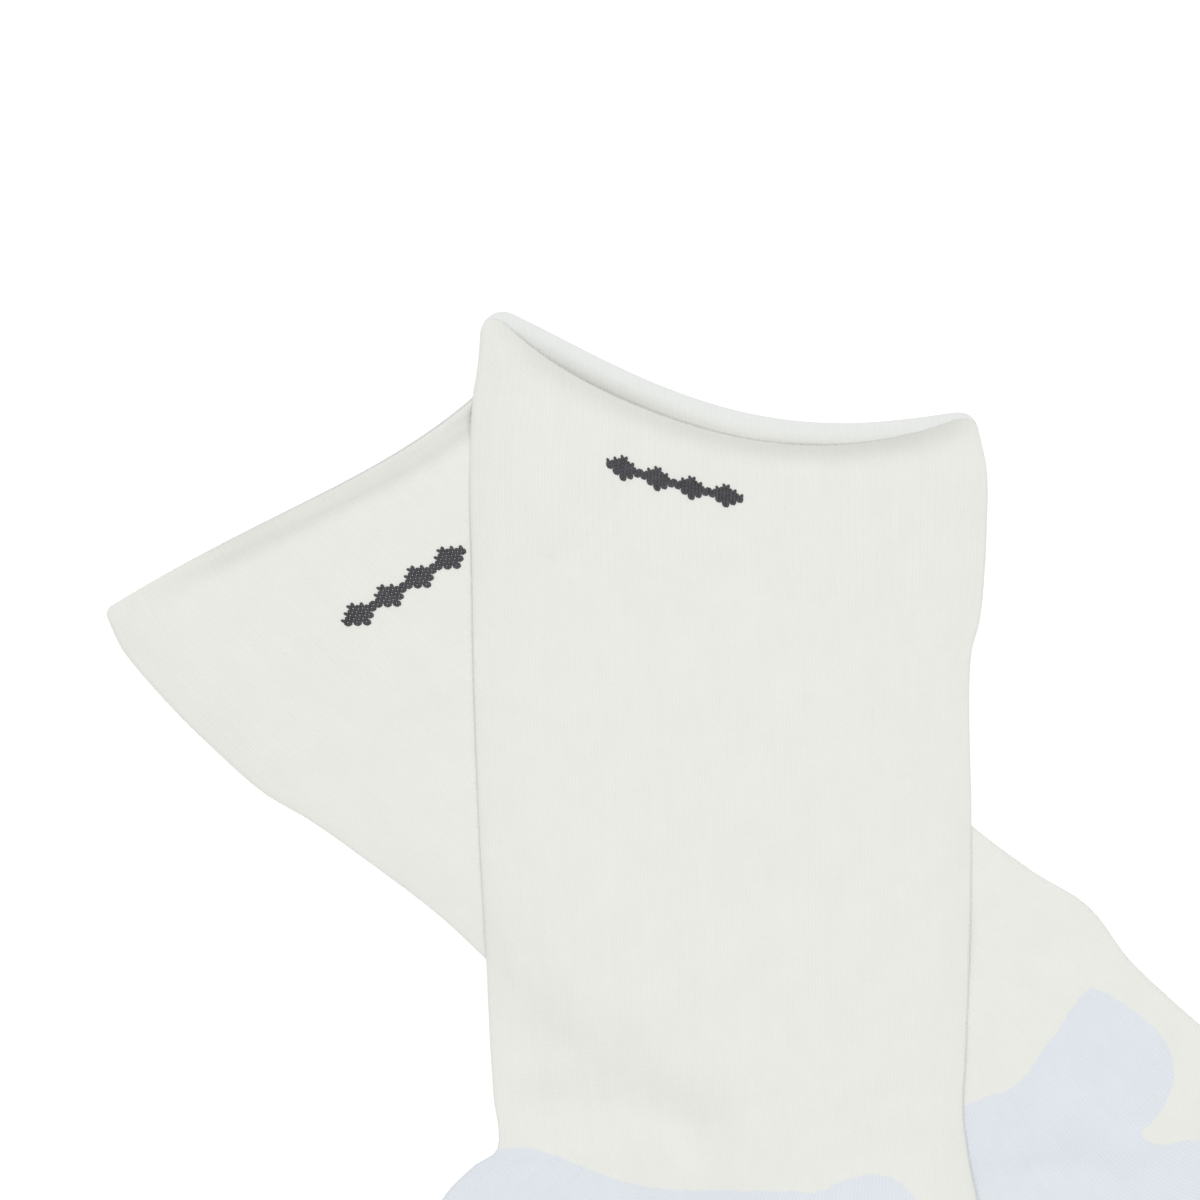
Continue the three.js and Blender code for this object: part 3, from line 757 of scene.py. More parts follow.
@dataclass(frozen=True)
class KnitFinish:
    """Fine single knit in combed cotton with some elastane.

    It gives the eye a matt, slightly hairy face of small plaited stitches in upright wales, no two quite
    alike. Heights and sizes are millimetres. Tones are shares of the yarn's light, and so is the gap shade,
    which is painted shade between the stitches.
    """

    name: str
    colour: str
    patch_colour: str
    inner_colour: str
    stitch_height: float = 0.035
    # Painted shade: the share of the yarn's light left in its colour between the stitches.
    gap_shade: float = 0.992
    gap_depth: float = 0.6
    rib: float = 0.0
    slant: float = 1.1
    needle_step: float = 3.7
    drift: float = 0.07
    wale_tone: float = 0.012
    cloud_tone: float = 0.016
    cloud_size: float = 6.0
    patch_jitter: float = 0.4
    patch_blend: tuple[float, float] = (0.35, 0.05)
    roughness: float = 0.95
    sheen: float = 0.06

    def build(self) -> bpy.types.Material:
        """Makes the material.

        Returns:
            A material that reads the piece's stitches from its UV map.
        """
        material = new_material(self.name)
        tree = material.node_tree
        uv = add(tree, "ShaderNodeUVMap", uv_map="stitches")
        split = add(tree, "ShaderNodeSeparateXYZ", {"Vector": uv})
        streak = self.streak(tree, *split.outputs[:2])
        height = self.stitch(tree, *split.outputs[:2], streak)
        tint = {0: self.yarn(tree, uv), "Scale": self.shade(tree, height, streak)}
        relief = {"Height": height, "Strength": 1.0, "Distance": self.stitch_height * MM}
        look = {
            "Base Color": add(tree, "ShaderNodeVectorMath", tint, operation="SCALE"),
            "Roughness": self.roughness,
            "Specular IOR Level": 0.25,
            "Sheen Weight": self.sheen,
            "Sheen Roughness": 0.6,
            "Normal": add(tree, "ShaderNodeBump", relief),
        }
        shader = add(tree, "ShaderNodeBsdfPrincipled", look)
        add(tree, "ShaderNodeOutputMaterial", {"Surface": shader})
        return material

    def streak(
        self, tree: bpy.types.NodeTree, wale: bpy.types.NodeSocket, course: bpy.types.NodeSocket
    ) -> bpy.types.Node:
        """Each wale's own tension, from 0 to 1, which drifts slowly along it.

        Args:
            tree: The material's node tree.
            wale: Number of wales round the tube.
            course: Number of courses along it.

        Returns:
            The node whose output is the tension.
        """
        needle = add(tree, "ShaderNodeMath", {0: wale}, operation="FLOOR")
        apart = add(tree, "ShaderNodeMath", {0: needle, 1: self.needle_step}, operation="MULTIPLY")
        drift = add(tree, "ShaderNodeMath", {0: course, 1: self.drift}, operation="MULTIPLY")
        place = add(tree, "ShaderNodeCombineXYZ", {"X": apart, "Y": drift})
        return add(tree, "ShaderNodeTexNoise", {"Vector": place, "Scale": 1.0, "Detail": 2.0})

    def stitch(
        self,
        tree: bpy.types.NodeTree,
        wale: bpy.types.NodeSocket,
        course: bpy.types.NodeSocket,
        streak: bpy.types.Node,
    ) -> bpy.types.Node:
        """Height of the plaited stitches: two legs a wale, which rise outward from its middle.

        Args:
            tree: The material's node tree.
            wale: Number of wales round the tube.
            course: Number of courses along it.
            streak: Each wale's tension.

        Returns:
            The node whose output is the height, from 0 to about 1.
        """
        sums = (
            ("place", "FRACT", "wale"),
            ("beside", "SUBTRACT", "place", 0.5),
            ("away", "ABSOLUTE", "beside"),
            ("off_leg", "SUBTRACT", "away", 0.25),
            ("across", "MULTIPLY", "off_leg", 4.0),
            ("fall", "MULTIPLY", "across", "across"),
            ("bulge", "SUBTRACT", 1.0, "fall"),
            ("solid", "MAXIMUM", "bulge", 0.0),
            ("leg", "SQRT", "solid"),
            ("lean", "MULTIPLY", "away", self.slant),
            ("climb", "ADD", "course", "lean"),
            ("cycle", "FRACT", "climb"),
            ("twice", "MULTIPLY", "cycle", 2.0),
            ("along", "SUBTRACT", "twice", 1.0),
            ("taper", "MULTIPLY", "along", "along"),
            ("bead", "SUBTRACT", 1.0, "taper"),
            ("half_bead", "MULTIPLY", "bead", 0.5),
            ("plump", "ADD", "half_bead", 0.5),
            ("plait", "MULTIPLY", "leg", "plump"),
            ("width", "MULTIPLY", "away", 2.0),
            ("drop", "POWER", "width", 3.0),
            ("ridge", "SUBTRACT", 1.0, "drop"),
            ("tension", "MULTIPLY", "streak", 2.0 * self.rib),
            ("uneven", "MULTIPLY", "tension", "ridge"),
            ("height", "ADD", "plait", "uneven"),
        )
        made = {"wale": wale, "course": course, "streak": streak}
        for name, operation, *terms in sums:
            feeds = {i: made.get(term, term) for i, term in enumerate(terms)}
            made[name] = add(tree, "ShaderNodeMath", feeds, operation=operation)
        return made["height"]

    def yarn(self, tree: bpy.types.NodeTree, uv: bpy.types.Node) -> bpy.types.NodeSocket:
        """The yarn's colour: the patch's inside its edge, stitch by stitch, and the inner face's in the cuff.

        Args:
            tree: The material's node tree.
            uv: The node that numbers the stitches.

        Returns:
            The output that holds the colour.
        """
        cell = add(tree, "ShaderNodeVectorMath", {0: uv}, operation="FLOOR")
        jumble = add(tree, "ShaderNodeTexWhiteNoise", {"Vector": cell}, noise_dimensions="2D")
        edge = add(tree, "ShaderNodeAttribute", attribute_name="patch_edge").outputs["Fac"]
        moved = {0: jumble, 1: self.patch_jitter, 2: edge}
        shifted = add(tree, "ShaderNodeMath", moved, operation="MULTIPLY_ADD")
        blend = (shifted, *self.patch_blend, 0.0, 1.0)
        inside = add(tree, "ShaderNodeMapRange", dict(enumerate(blend)))
        plain = {"Factor": inside, 6: linear(self.colour), 7: linear(self.patch_colour)}
        patched = add(tree, "ShaderNodeMix", plain, data_type="RGBA").outputs[2]
        inner = add(tree, "ShaderNodeAttribute", attribute_name="inner_face").outputs["Fac"]
        whole = {"Factor": inner, 6: patched, 7: linear(self.inner_colour)}
        return add(tree, "ShaderNodeMix", whole, data_type="RGBA").outputs[2]

    def shade(
        self, tree: bpy.types.NodeTree, height: bpy.types.Node, streak: bpy.types.Node
    ) -> bpy.types.Node:
        """How light the yarn's colour is: painted shade between the stitches and deep in the mouth's crease
        and groove, each wale a little different, faintly clouded.

        Args:
            tree: The material's node tree.
            height: Height of the stitches.
            streak: Each wale's tension.

        Returns:
            The node whose output is the share of light.
        """
        # Painted shade between the stitches, where the stitch height is low.
        gap_shading = (height, 0.0, self.gap_depth, self.gap_shade, 1.0)
        wales = (streak, *NOISE, 1.0 - self.wale_tone, 1.0)
        place = add(tree, "ShaderNodeTexCoord").outputs["Object"]
        hairs = {"Vector": place, "Scale": 1 / (self.cloud_size * MM), "Detail": 6.0, "Roughness": 0.62}
        fibres = add(tree, "ShaderNodeTexNoise", hairs)
        clouds = (fibres, *NOISE, 1.0 - self.cloud_tone, 1.0 + self.cloud_tone / 2)
        # Painted shade deep in the mouth's crease and groove, read from the crease_shade attribute.
        crease = add(tree, "ShaderNodeAttribute", attribute_name="crease_shade").outputs["Fac"]
        light = add(tree, "ShaderNodeMath", {0: 1.0, 1: crease}, operation="SUBTRACT")
        for part in (gap_shading, wales, clouds):
            share = add(tree, "ShaderNodeMapRange", dict(enumerate(part)))
            light = add(tree, "ShaderNodeMath", {0: light, 1: share}, operation="MULTIPLY")
        return light


@dataclass(frozen=True)
class YarnFinish:
    """Charcoal polyester embroidery yarn, spun and laid thickly: a dark thread with a slight silky gloss.

    Twist is the size, in millimetres, that the pattern of its plies is drawn at. Flecks is how many uneven
    patches lie along a metre of it.
    """

    name: str
    colour: str
    roughness: float = 0.62
    twist: float = 4.4
    flecks: float = 900.0
    fleck_tone: tuple[float, float] = (0.75, 1.3)

    def build(self) -> bpy.types.Material:
        """Makes the material.

        Returns:
            A material with the plies of the yarn as fine slanting lines.
        """
        material = new_material(self.name)
        tree = material.node_tree
        place = add(tree, "ShaderNodeTexCoord").outputs["Object"]
        bands = {"Vector": place, "Scale": 1.0 / (self.twist * MM), "Distortion": 1.5, "Detail": 1.0}
        plies = add(tree, "ShaderNodeTexWave", bands, bands_direction="DIAGONAL").outputs["Fac"]
        uneven = add(tree, "ShaderNodeTexNoise", {"Vector": place, "Scale": self.flecks, "Detail": 2.0})
        tones = (uneven, *NOISE, *self.fleck_tone)
        shade = add(tree, "ShaderNodeMapRange", dict(enumerate(tones)))
        tint = {0: linear(self.colour)[:3], "Scale": shade}
        relief = {"Height": plies, "Strength": 0.6, "Distance": 0.05 * MM}
        look = {
            "Base Color": add(tree, "ShaderNodeVectorMath", tint, operation="SCALE"),
            "Roughness": self.roughness,
            "Specular IOR Level": 0.5,
            "Sheen Weight": 0.1,
            "Normal": add(tree, "ShaderNodeBump", relief),
        }
        shader = add(tree, "ShaderNodeBsdfPrincipled", look)
        add(tree, "ShaderNodeOutputMaterial", {"Surface": shader})
        return material


@dataclass(frozen=True)
class FibreFinish:
    """Loose ends of combed cotton: matt, pale and thin, so that they only soften the cloth's edge."""

    name: str
    colour: str
    patch_colour: str
    patch_blend: tuple[float, float] = (0.1, -0.1)

    def build(self) -> bpy.types.Material:
        """Makes the material.

        Returns:
            A material with the colour of the yarn that each fibre grows from.
        """
        material = new_material(self.name)
        tree = material.node_tree
        edge = add(tree, "ShaderNodeAttribute", attribute_name="patch_edge").outputs["Fac"]
        blend = (edge, *self.patch_blend, 0.0, 1.0)
        padded = add(tree, "ShaderNodeMapRange", dict(enumerate(blend)))
        colours = {"Factor": padded, 6: linear(self.colour), 7: linear(self.patch_colour)}
        colour = add(tree, "ShaderNodeMix", colours, data_type="RGBA").outputs[2]
        shader = add(tree, "ShaderNodeBsdfPrincipled", {"Base Color": colour, "Roughness": 1.0})
        add(tree, "ShaderNodeOutputMaterial", {"Surface": shader})
        return material


@dataclass(frozen=True)
class TableFinish:
    """White opal acrylic over lamps, as on a light table: matt, and it shines a little by itself."""

    name: str = "white_opal_acrylic"
    colour: str = "#CECECE"
    glow_colour: str = "#FFFFFF"
    glow: float = 0.5

    def build(self) -> bpy.types.Material:
        """Makes the material.

        Returns:
            The material of the table below the socks.
        """
        material = new_material(self.name)
        look = {
            "Base Color": linear(self.colour),
            "Roughness": 0.9,
            "Specular IOR Level": 0.1,
            "Emission Color": linear(self.glow_colour),
            "Emission Strength": self.glow,
        }
        shader = add(material.node_tree, "ShaderNodeBsdfPrincipled", look)
        add(material.node_tree, "ShaderNodeOutputMaterial", {"Surface": shader})
        return material


@dataclass
class Finishes:
    """The materials of the pair, made once and shared by both socks."""

    rib: bpy.types.Material = field(init=False)
    ivory: bpy.types.Material = field(init=False)
    ice: bpy.types.Material = field(init=False)
    charcoal: bpy.types.Material = field(init=False)
    fibre: bpy.types.Material = field(init=False)

    def __post_init__(self) -> None:
        """Makes the materials."""
        yarns = ("#E9EAE4", "#E1E6EC", "#E8EAEA")
        self.rib = KnitFinish("ivory_cotton_rib", *yarns, rib=0.4, wale_tone=0.014).build()
        self.ivory = KnitFinish("ivory_cotton_knit", *yarns).build()
        self.ice = KnitFinish("ice_blue_terry_knit", *yarns, stitch_height=0.05, wale_tone=0.02).build()
        self.charcoal = YarnFinish("charcoal_yarn", "#434247").build()
        self.fibre = FibreFinish("cotton_fibre_ends", *yarns[:2]).build()


UPPER_ROWS = (
    Row((-19.9, 52.1), (67.3, 33.3), 4.0),
    Row((-20.9, 43.8), (68.2, 25.7), 4.4),
    Row((-22.4, 34.1), (68.0, 17.5), 4.4),
    Row((-22.9, 21.9), (67.6, 7.0), 4.4),
    Row((-22.6, 9.6), (66.7, -3.2), 4.2),
    Row((-22.4, 1.8), (65.1, -9.6), 3.8),
    Row((-22.2, -10.5), (64.8, -21.0), 3.8),
    Row((-21.7, -26.3), (65.1, -35.9), 3.8),
    Row((-21.0, -43.8), (64.9, -52.5), 3.8),
    Row((-20.0, -61.3), (64.4, -68.3), 3.8),
    Row((-19.4, -75.3), (63.9, -80.5), 3.9),
    Row((-18.7, -86.6), (63.5, -89.3), 4.2),
    Row((-18.0, -96.3), (64.4, -97.1), 4.5),
    Row((-22.3, -99.4), (65.2, -101.4), 4.65),
    Row((-27.6, -105.0), (66.0, -105.9), 4.8),
    Row((-34.1, -118.1), (64.4, -115.9), 5.0),
    Row((-37.6, -134.8), (63.4, -125.1), 5.2),
    Row((-36.8, -154.0), (63.4, -133.9), 5.2),
    Row((-30.6, -171.5), (65.6, -143.2), 5.2),
    Row((-19.3, -187.3), (70.9, -152.6), 5.0),
    Row((-3.5, -202.1), (77.9, -160.1), 4.8),
    Row((15.8, -218.8), (85.8, -168.0), 4.8),
)
LOWER_ROWS = (
    Row((-87.2, -1.9), (-12.3, 44.6), 4.0),
    Row((-83.9, -8.4), (-6.5, 40.1), 4.4),
    Row((-76.0, -17.9), (0.0, 34.1), 4.4),
    Row((-68.3, -25.6), (7.4, 26.6), 4.4),
    Row((-59.3, -33.6), (13.3, 19.8), 4.2),
    Row((-51.1, -38.5), (18.9, 13.3), 3.8),
    Row((-43.1, -44.1), (25.7, 5.0), 3.8),
    Row((-29.1, -54.6), (36.1, -7.3), 3.8),
    Row((-20.0, -63.0), (44.0, -16.8), 3.8),
    Row((-8.8, -74.2), (53.3, -27.5), 3.8),
    Row((2.5, -85.4), (64.4, -38.8), 3.8),
    Row((13.8, -96.4), (75.5, -47.3), 3.9),
    Row((24.2, -105.9), (85.8, -53.9), 4.2),
    Row((31.3, -112.4), (92.8, -63.0), 4.5),
    Row((32.7, -124.6), (99.9, -69.8), 4.8),
    Row((36.8, -138.6), (105.5, -74.7), 5.0),
    Row((45.2, -151.4), (111.5, -79.1), 5.2),
    Row((57.8, -160.7), (117.6, -82.4), 5.2),
    Row((73.5, -165.9), (124.3, -84.5), 5.0),
    Row((92.8, -168.4), (131.3, -85.8), 4.8),
    Row((116.4, -169.4), (139.1, -86.1), 4.8),
)

UPPER_FOLDS = (
    Fold(((-12.0, -77.0), (2.5, -82.0), (16.0, -89.0)), 6.5, -1.5),
    Fold(((-20.0, -90.5), (-4.0, -89.5), (16.0, -93.5)), 6.0, -2.2),
    Fold(((-13.0, -92.3), (0.0, -91.6), (13.0, -96.6)), 2.4, 0.42),
    Fold(((60.0, -86.4), (51.5, -87.2), (43.5, -90.2)), 2.6, -0.6),
    Fold(((63.2, -90.3), (51.1, -91.3), (38.5, -95.4)), 2.2, 0.4),
    Fold(((24.0, -93.0), (32.4, -90.5), (41.0, -87.2)), 1.5, 0.22),
    Fold(((22.0, -90.5), (31.0, -87.6), (40.0, -84.0)), 2.2, -0.3),
    Fold(((35.0, -49.0), (43.8, -51.0), (52.5, -46.0)), 8.0, -0.3),
    Fold(((-24.0, -140.0), (-4.0, -138.0), (16.0, -131.0)), 4.5, -0.8),
    Fold(((60.0, -141.0), (48.0, -146.0), (34.0, -147.0)), 4.0, -0.9),
    Fold(((36.0, -203.0), (58.0, -192.0), (76.0, -190.0)), 6.0, -0.5),
)
LOWER_FOLDS = (
    Fold(((-47.3, -31.5), (-38.5, -27.1), (-29.8, -20.1)), 4.5, -0.6),
    Fold(((-64.0, -8.0), (-60.5, -12.0), (-57.8, -16.8)), 5.0, -0.5),
    Fold(((78.8, -60.4), (87.5, -61.3), (94.5, -67.4)), 4.5, -0.8),
    Fold(((102.6, -76.5), (100.6, -84.9), (98.0, -90.1)), 3.0, -0.7),
    Fold(((105.5, -80.5), (105.0, -85.0), (104.3, -90.3)), 3.0, 0.4),
    Fold(((74.0, -86.1), (85.1, -92.5), (95.0, -95.5)), 3.0, 0.5),
    Fold(((69.0, -102.0), (80.5, -99.6), (88.5, -101.5)), 3.5, -1.0),
    Fold(((87.5, -105.0), (97.0, -105.0), (108.0, -103.5)), 4.0, 0.4),
    Fold(((118.0, -92.0), (110.0, -101.0), (108.0, -112.0)), 4.0, -0.8),
    Fold(((136.0, -150.0), (142.0, -130.0), (154.0, -112.0)), 6.0, -0.5),
)

UPPER_MOUTH = Mouth(
    sag=9.2, lean=0.10, sweep=1.3, step=4.6, tilt=1.3, corner=5.0, tuck=0.8, lip=4.4, shade=0.14, puff=1.0
)
LOWER_MOUTH = Mouth(
    sag=3.5, lean=0.40, sweep=1.4, step=0.3, tilt=-0.2, corner=1.8, tuck=0.3, lip=1.3, shade=0.09, groove=0.6
)

UPPER_PATCH = Patch(
    ankle=(
        (-18.0, -96.3), (-12.3, -96.1), (-5.8, -98.0), (3.0, -101.3), (10.7, -102.9), (22.7, -103.1),
        (31.5, -103.0), (38.0, -103.2), (42.3, -101.3), (46.7, -100.1), (51.1, -100.8), (54.4, -103.7),
        (56.0, -108.0), (56.2, -113.0), (54.6, -118.1), (50.8, -122.5), (46.4, -124.8), (47.0, -128.4),
        (52.0, -140.0), (60.0, -157.0), (70.0, -174.0),
    ),
    foot=((0, 22), (40, 12), (83, 8)),
)
LOWER_PATCH = Patch(
    ankle=(
        (27.5, -109.0), (37.0, -104.0), (50.0, -95.0), (64.5, -88.0), (72.5, -85.0), (78.5, -77.5),
        (84.5, -69.0), (87.5, -68.4), (91.5, -70.5), (95.5, -73.5), (99.0, -77.5), (100.5, -81.5),
        (100.3, -85.0), (98.5, -89.0), (96.4, -91.5), (94.6, -93.3), (96.0, -94.7), (99.5, -95.2),
        (105.0, -94.4), (117.0, -97.0),
    ),
    foot=((0, 22), (45, 12), (91, 8)),
)


@dataclass(frozen=True)
class Cut:
    """The flat cut of a stretch of cloth, all round the tube: width, length and area, in millimetres."""

    width: float
    length: float
    area: float

    def declare(self, piece: bpy.types.Object, rests_on: tuple[str, ...]) -> None:
        """Takes the piece and the things that it rests on, and does nothing with them."""


@dataclass
class Motif:
    """A chain of small lozenges worked in charcoal yarn over the stitches of the welt.

    Each lozenge is up to five stitches wide and six high, and the chain follows the courses.
    """

    form: SockForm
    along: float
    first_wale: int
    yarn: bpy.types.Material
    lozenges: int = 4
    widths: tuple[int, ...] = (1, 3, 5, 5, 3, 1)
    leg: tuple[float, float, float] = (0.34, 0.58, 0.30)
    lean: float = 24.0
    raised: float = 0.05

    def stitches(self) -> np.ndarray:
        """Sets out the chain.

        Returns:
            The course and wale of every stitch, one stitch a row.
        """
        wide = max(self.widths)
        spots = []
        for k in range(self.lozenges):
            middle = self.first_wale + k * wide + wide // 2
            for course, width in enumerate(self.widths):
                spots += [(course, middle + step) for step in range(-(width // 2), width // 2 + 1)]
        return np.array(spots, float)

    def build(self) -> bpy.types.Object:
        """Makes the motif: two leaning legs of yarn for each stitch.

        Returns:
            The motif's object, linked to the scene.
        """
        spots = self.stitches()
        along = self.along + spots[:, 0] * COURSE
        bm = bmesh.new()
        # The legs of a stitch stand a quarter and three quarters of the way across its wale.
        for across, lean in ((0.25, -self.lean), (0.75, self.lean)):
            wale = spots[:, 1] + across
            centre = self.spot(along, wale)
            toward = self.spot(along + 0.5, wale) - centre
            beside = self.spot(along, wale + 0.3) - centre
            for place, down, right in zip(centre, toward, beside):
                self.add_leg(bm, Vector(place), Vector(down).normalized(), Vector(right).normalized(), lean)
        for face in bm.faces:
            face.smooth = True
        mesh = bpy.data.meshes.new(f"{self.form.name}_motif")
        bm.to_mesh(mesh)
        bm.free()
        mesh.materials.append(self.yarn)
        return new_object(mesh)

    def spot(self, along: np.ndarray, wale: np.ndarray) -> np.ndarray:
        """Points on the near wall at places along the sock and numbers of wales, in metres."""
        way = wale / self.form.wales(along, np.full(len(along), 0.9999))
        return (self.form.place(along, way, np.full(len(along), -self.raised)) - ORIGIN) * MM

    def add_leg(
        self, bm: bmesh.types.BMesh, place: Vector, down: Vector, right: Vector, lean: float
    ) -> None:
        """Adds one plump leg of yarn that leans across the stitch.

        Args:
            bm: The mesh that it is added to.
            place: Its middle.
            down: Direction down the wale.
            right: Direction along the course.
            lean: Angle that its top leans outward, in degrees.
        """
        verts = bmesh.ops.create_uvsphere(bm, u_segments=8, v_segments=6, radius=MM)["verts"]
        bmesh.ops.scale(bm, verts=verts, vec=self.leg)
        bmesh.ops.rotate(bm, verts=verts, matrix=Matrix.Rotation(math.radians(-lean), 3, "Z"))
        up = right.cross(-down)
        frame = Matrix((right, -down, up)).transposed()
        bmesh.ops.rotate(bm, verts=verts, matrix=frame)
        bmesh.ops.translate(bm, verts=verts, vec=place)


@dataclass
class Nap:
    """Loose fibre ends that stand off the cloth, most of them round its side folds and its rims.

    A fibre is drawn 0.05 mm thick, about three times a real cotton fibre, so that it shows at the
    photograph's scale. Of all fibres, the share up to fold_share is at the side folds, the share past
    rim_from is at the rims, and of that the share past far_rim_from is at the far one.
    """

    form: SockForm
    fibre: bpy.types.Material
    doublings: int = 13
    radius: float = 0.025
    shortest: float = 0.25
    longest: float = 0.95
    root: float = 0.06
    lowest: float = 0.01
    fold_share: float = 0.62
    rim_from: float = 0.92
    far_rim_from: float = 0.96
    rim_reach: float = 0.25
    rim_rise: float = 0.3
    ends: tuple[float, float] = (1.0, 3.0)
    edge_stray: float = 0.55
    wall_stray: float = 1.3
    dip: float = 0.15

    def build(self) -> bpy.types.Object:
        """Makes the nap: one pointed fibre, copied until there are enough, each laid in its own place.

        Returns:
            The nap's object, linked to the scene.
        """
        bm = bmesh.new()
        bmesh.ops.create_cone(bm, cap_ends=True, segments=3, radius1=1.0, radius2=0.0, depth=1.0)
        bmesh.ops.remove_doubles(bm, verts=bm.verts, dist=0.01)
        shape = np.array([v.co for v in bm.verts])
        mesh = bpy.data.meshes.new(f"{self.form.name}_nap")
        bm.to_mesh(mesh)
        bm.free()
        bm = bmesh.new()
        bm.from_mesh(mesh)
        for _ in range(self.doublings):
            bmesh.ops.duplicate(bm, geom=[*bm.verts, *bm.edges, *bm.faces])
        bm.to_mesh(mesh)
        bm.free()
        roots, ways, reach, edge = self.fibres(len(mesh.vertices) // len(shape))
        # Any direction that no fibre has will do to find two across each fibre.
        right = np.cross(ways, (0.31, 0.52, 0.79))
        right /= np.linalg.norm(right, axis=1)[:, None]
        up = np.cross(ways, right)
        spread = shape * (self.radius, self.radius, 1.0) + (0, 0, 0.5)
        points = roots[:, None] + spread[None, :, :1] * right[:, None] + spread[None, :, 1:2] * up[:, None]
        points = points + (spread[None, :, 2:] * reach[:, None, None] - self.root) * ways[:, None]
        points = (points - ORIGIN) * MM
        points[..., 2] = np.maximum(points[..., 2], self.lowest * MM)
        mesh.vertices.foreach_set("co", points.ravel())
        colour = mesh.attributes.new("patch_edge", "FLOAT", "POINT")
        colour.data.foreach_set("value", np.repeat(edge, len(shape)))
        mesh.materials.append(self.fibre)
        return new_object(mesh)

    def fibres(self, count: int) -> tuple[np.ndarray, np.ndarray, np.ndarray, np.ndarray]:
        """Lays the fibres out by chance, always the same for one sock.

        Args:
            count: How many there are.

        Returns:
            For each fibre, where it grows, the way that it points, its length, and how far outside the
            padded patch it is.
        """
        dice = np.random.default_rng(int(self.form.seed))
        share = dice.random(count)
        over = dice.random(count)
        fold, rim = share < self.fold_share, share > self.rim_from
        # At a fold, one half goes on the instep fold's upper part and the other on the heel fold's.
        way = np.where(fold, np.where(over < 0.5, 1 + over, 2.98 + over), over * 0.96 + 0.02)
        way = np.where(share > self.far_rim_from, way + 2, way)
        at_rim = self.rim_reach * dice.random(count)
        on_wall = dice.random(count) * (self.form.length - sum(self.ends)) + self.ends[0]
        along = np.where(rim, at_rim, on_wall)
        none = np.zeros(count)
        roots = self.form.place(along, way, none)
        down = self.form.place(along + 0.3, way, none) - roots
        beside = self.form.place(along, way + 0.004, none) - roots
        out = np.cross(down, beside)
        out /= np.linalg.norm(out, axis=1)[:, None] + 1e-9
        down /= np.linalg.norm(down, axis=1)[:, None] + 1e-9
        stray = dice.normal(size=(count, 3)) * np.where(fold | rim, self.edge_stray, self.wall_stray)[:, None]
        ways = out * np.where(rim, self.rim_rise, 1.0)[:, None] - down * rim[:, None] + stray
        into = np.minimum((ways * out).sum(axis=1) - self.dip, 0)
        ways -= into[:, None] * out
        ways /= np.linalg.norm(ways, axis=1)[:, None]
        reach = self.shortest + (self.longest - self.shortest) * dice.random(count) ** 2
        away = signed_distance(roots[:, :2], self.form.patch_outline())
        toe = along > self.form.length - self.form.toe_depth
        return roots, ways, reach, np.where(toe, INSIDE_PATCH, away)


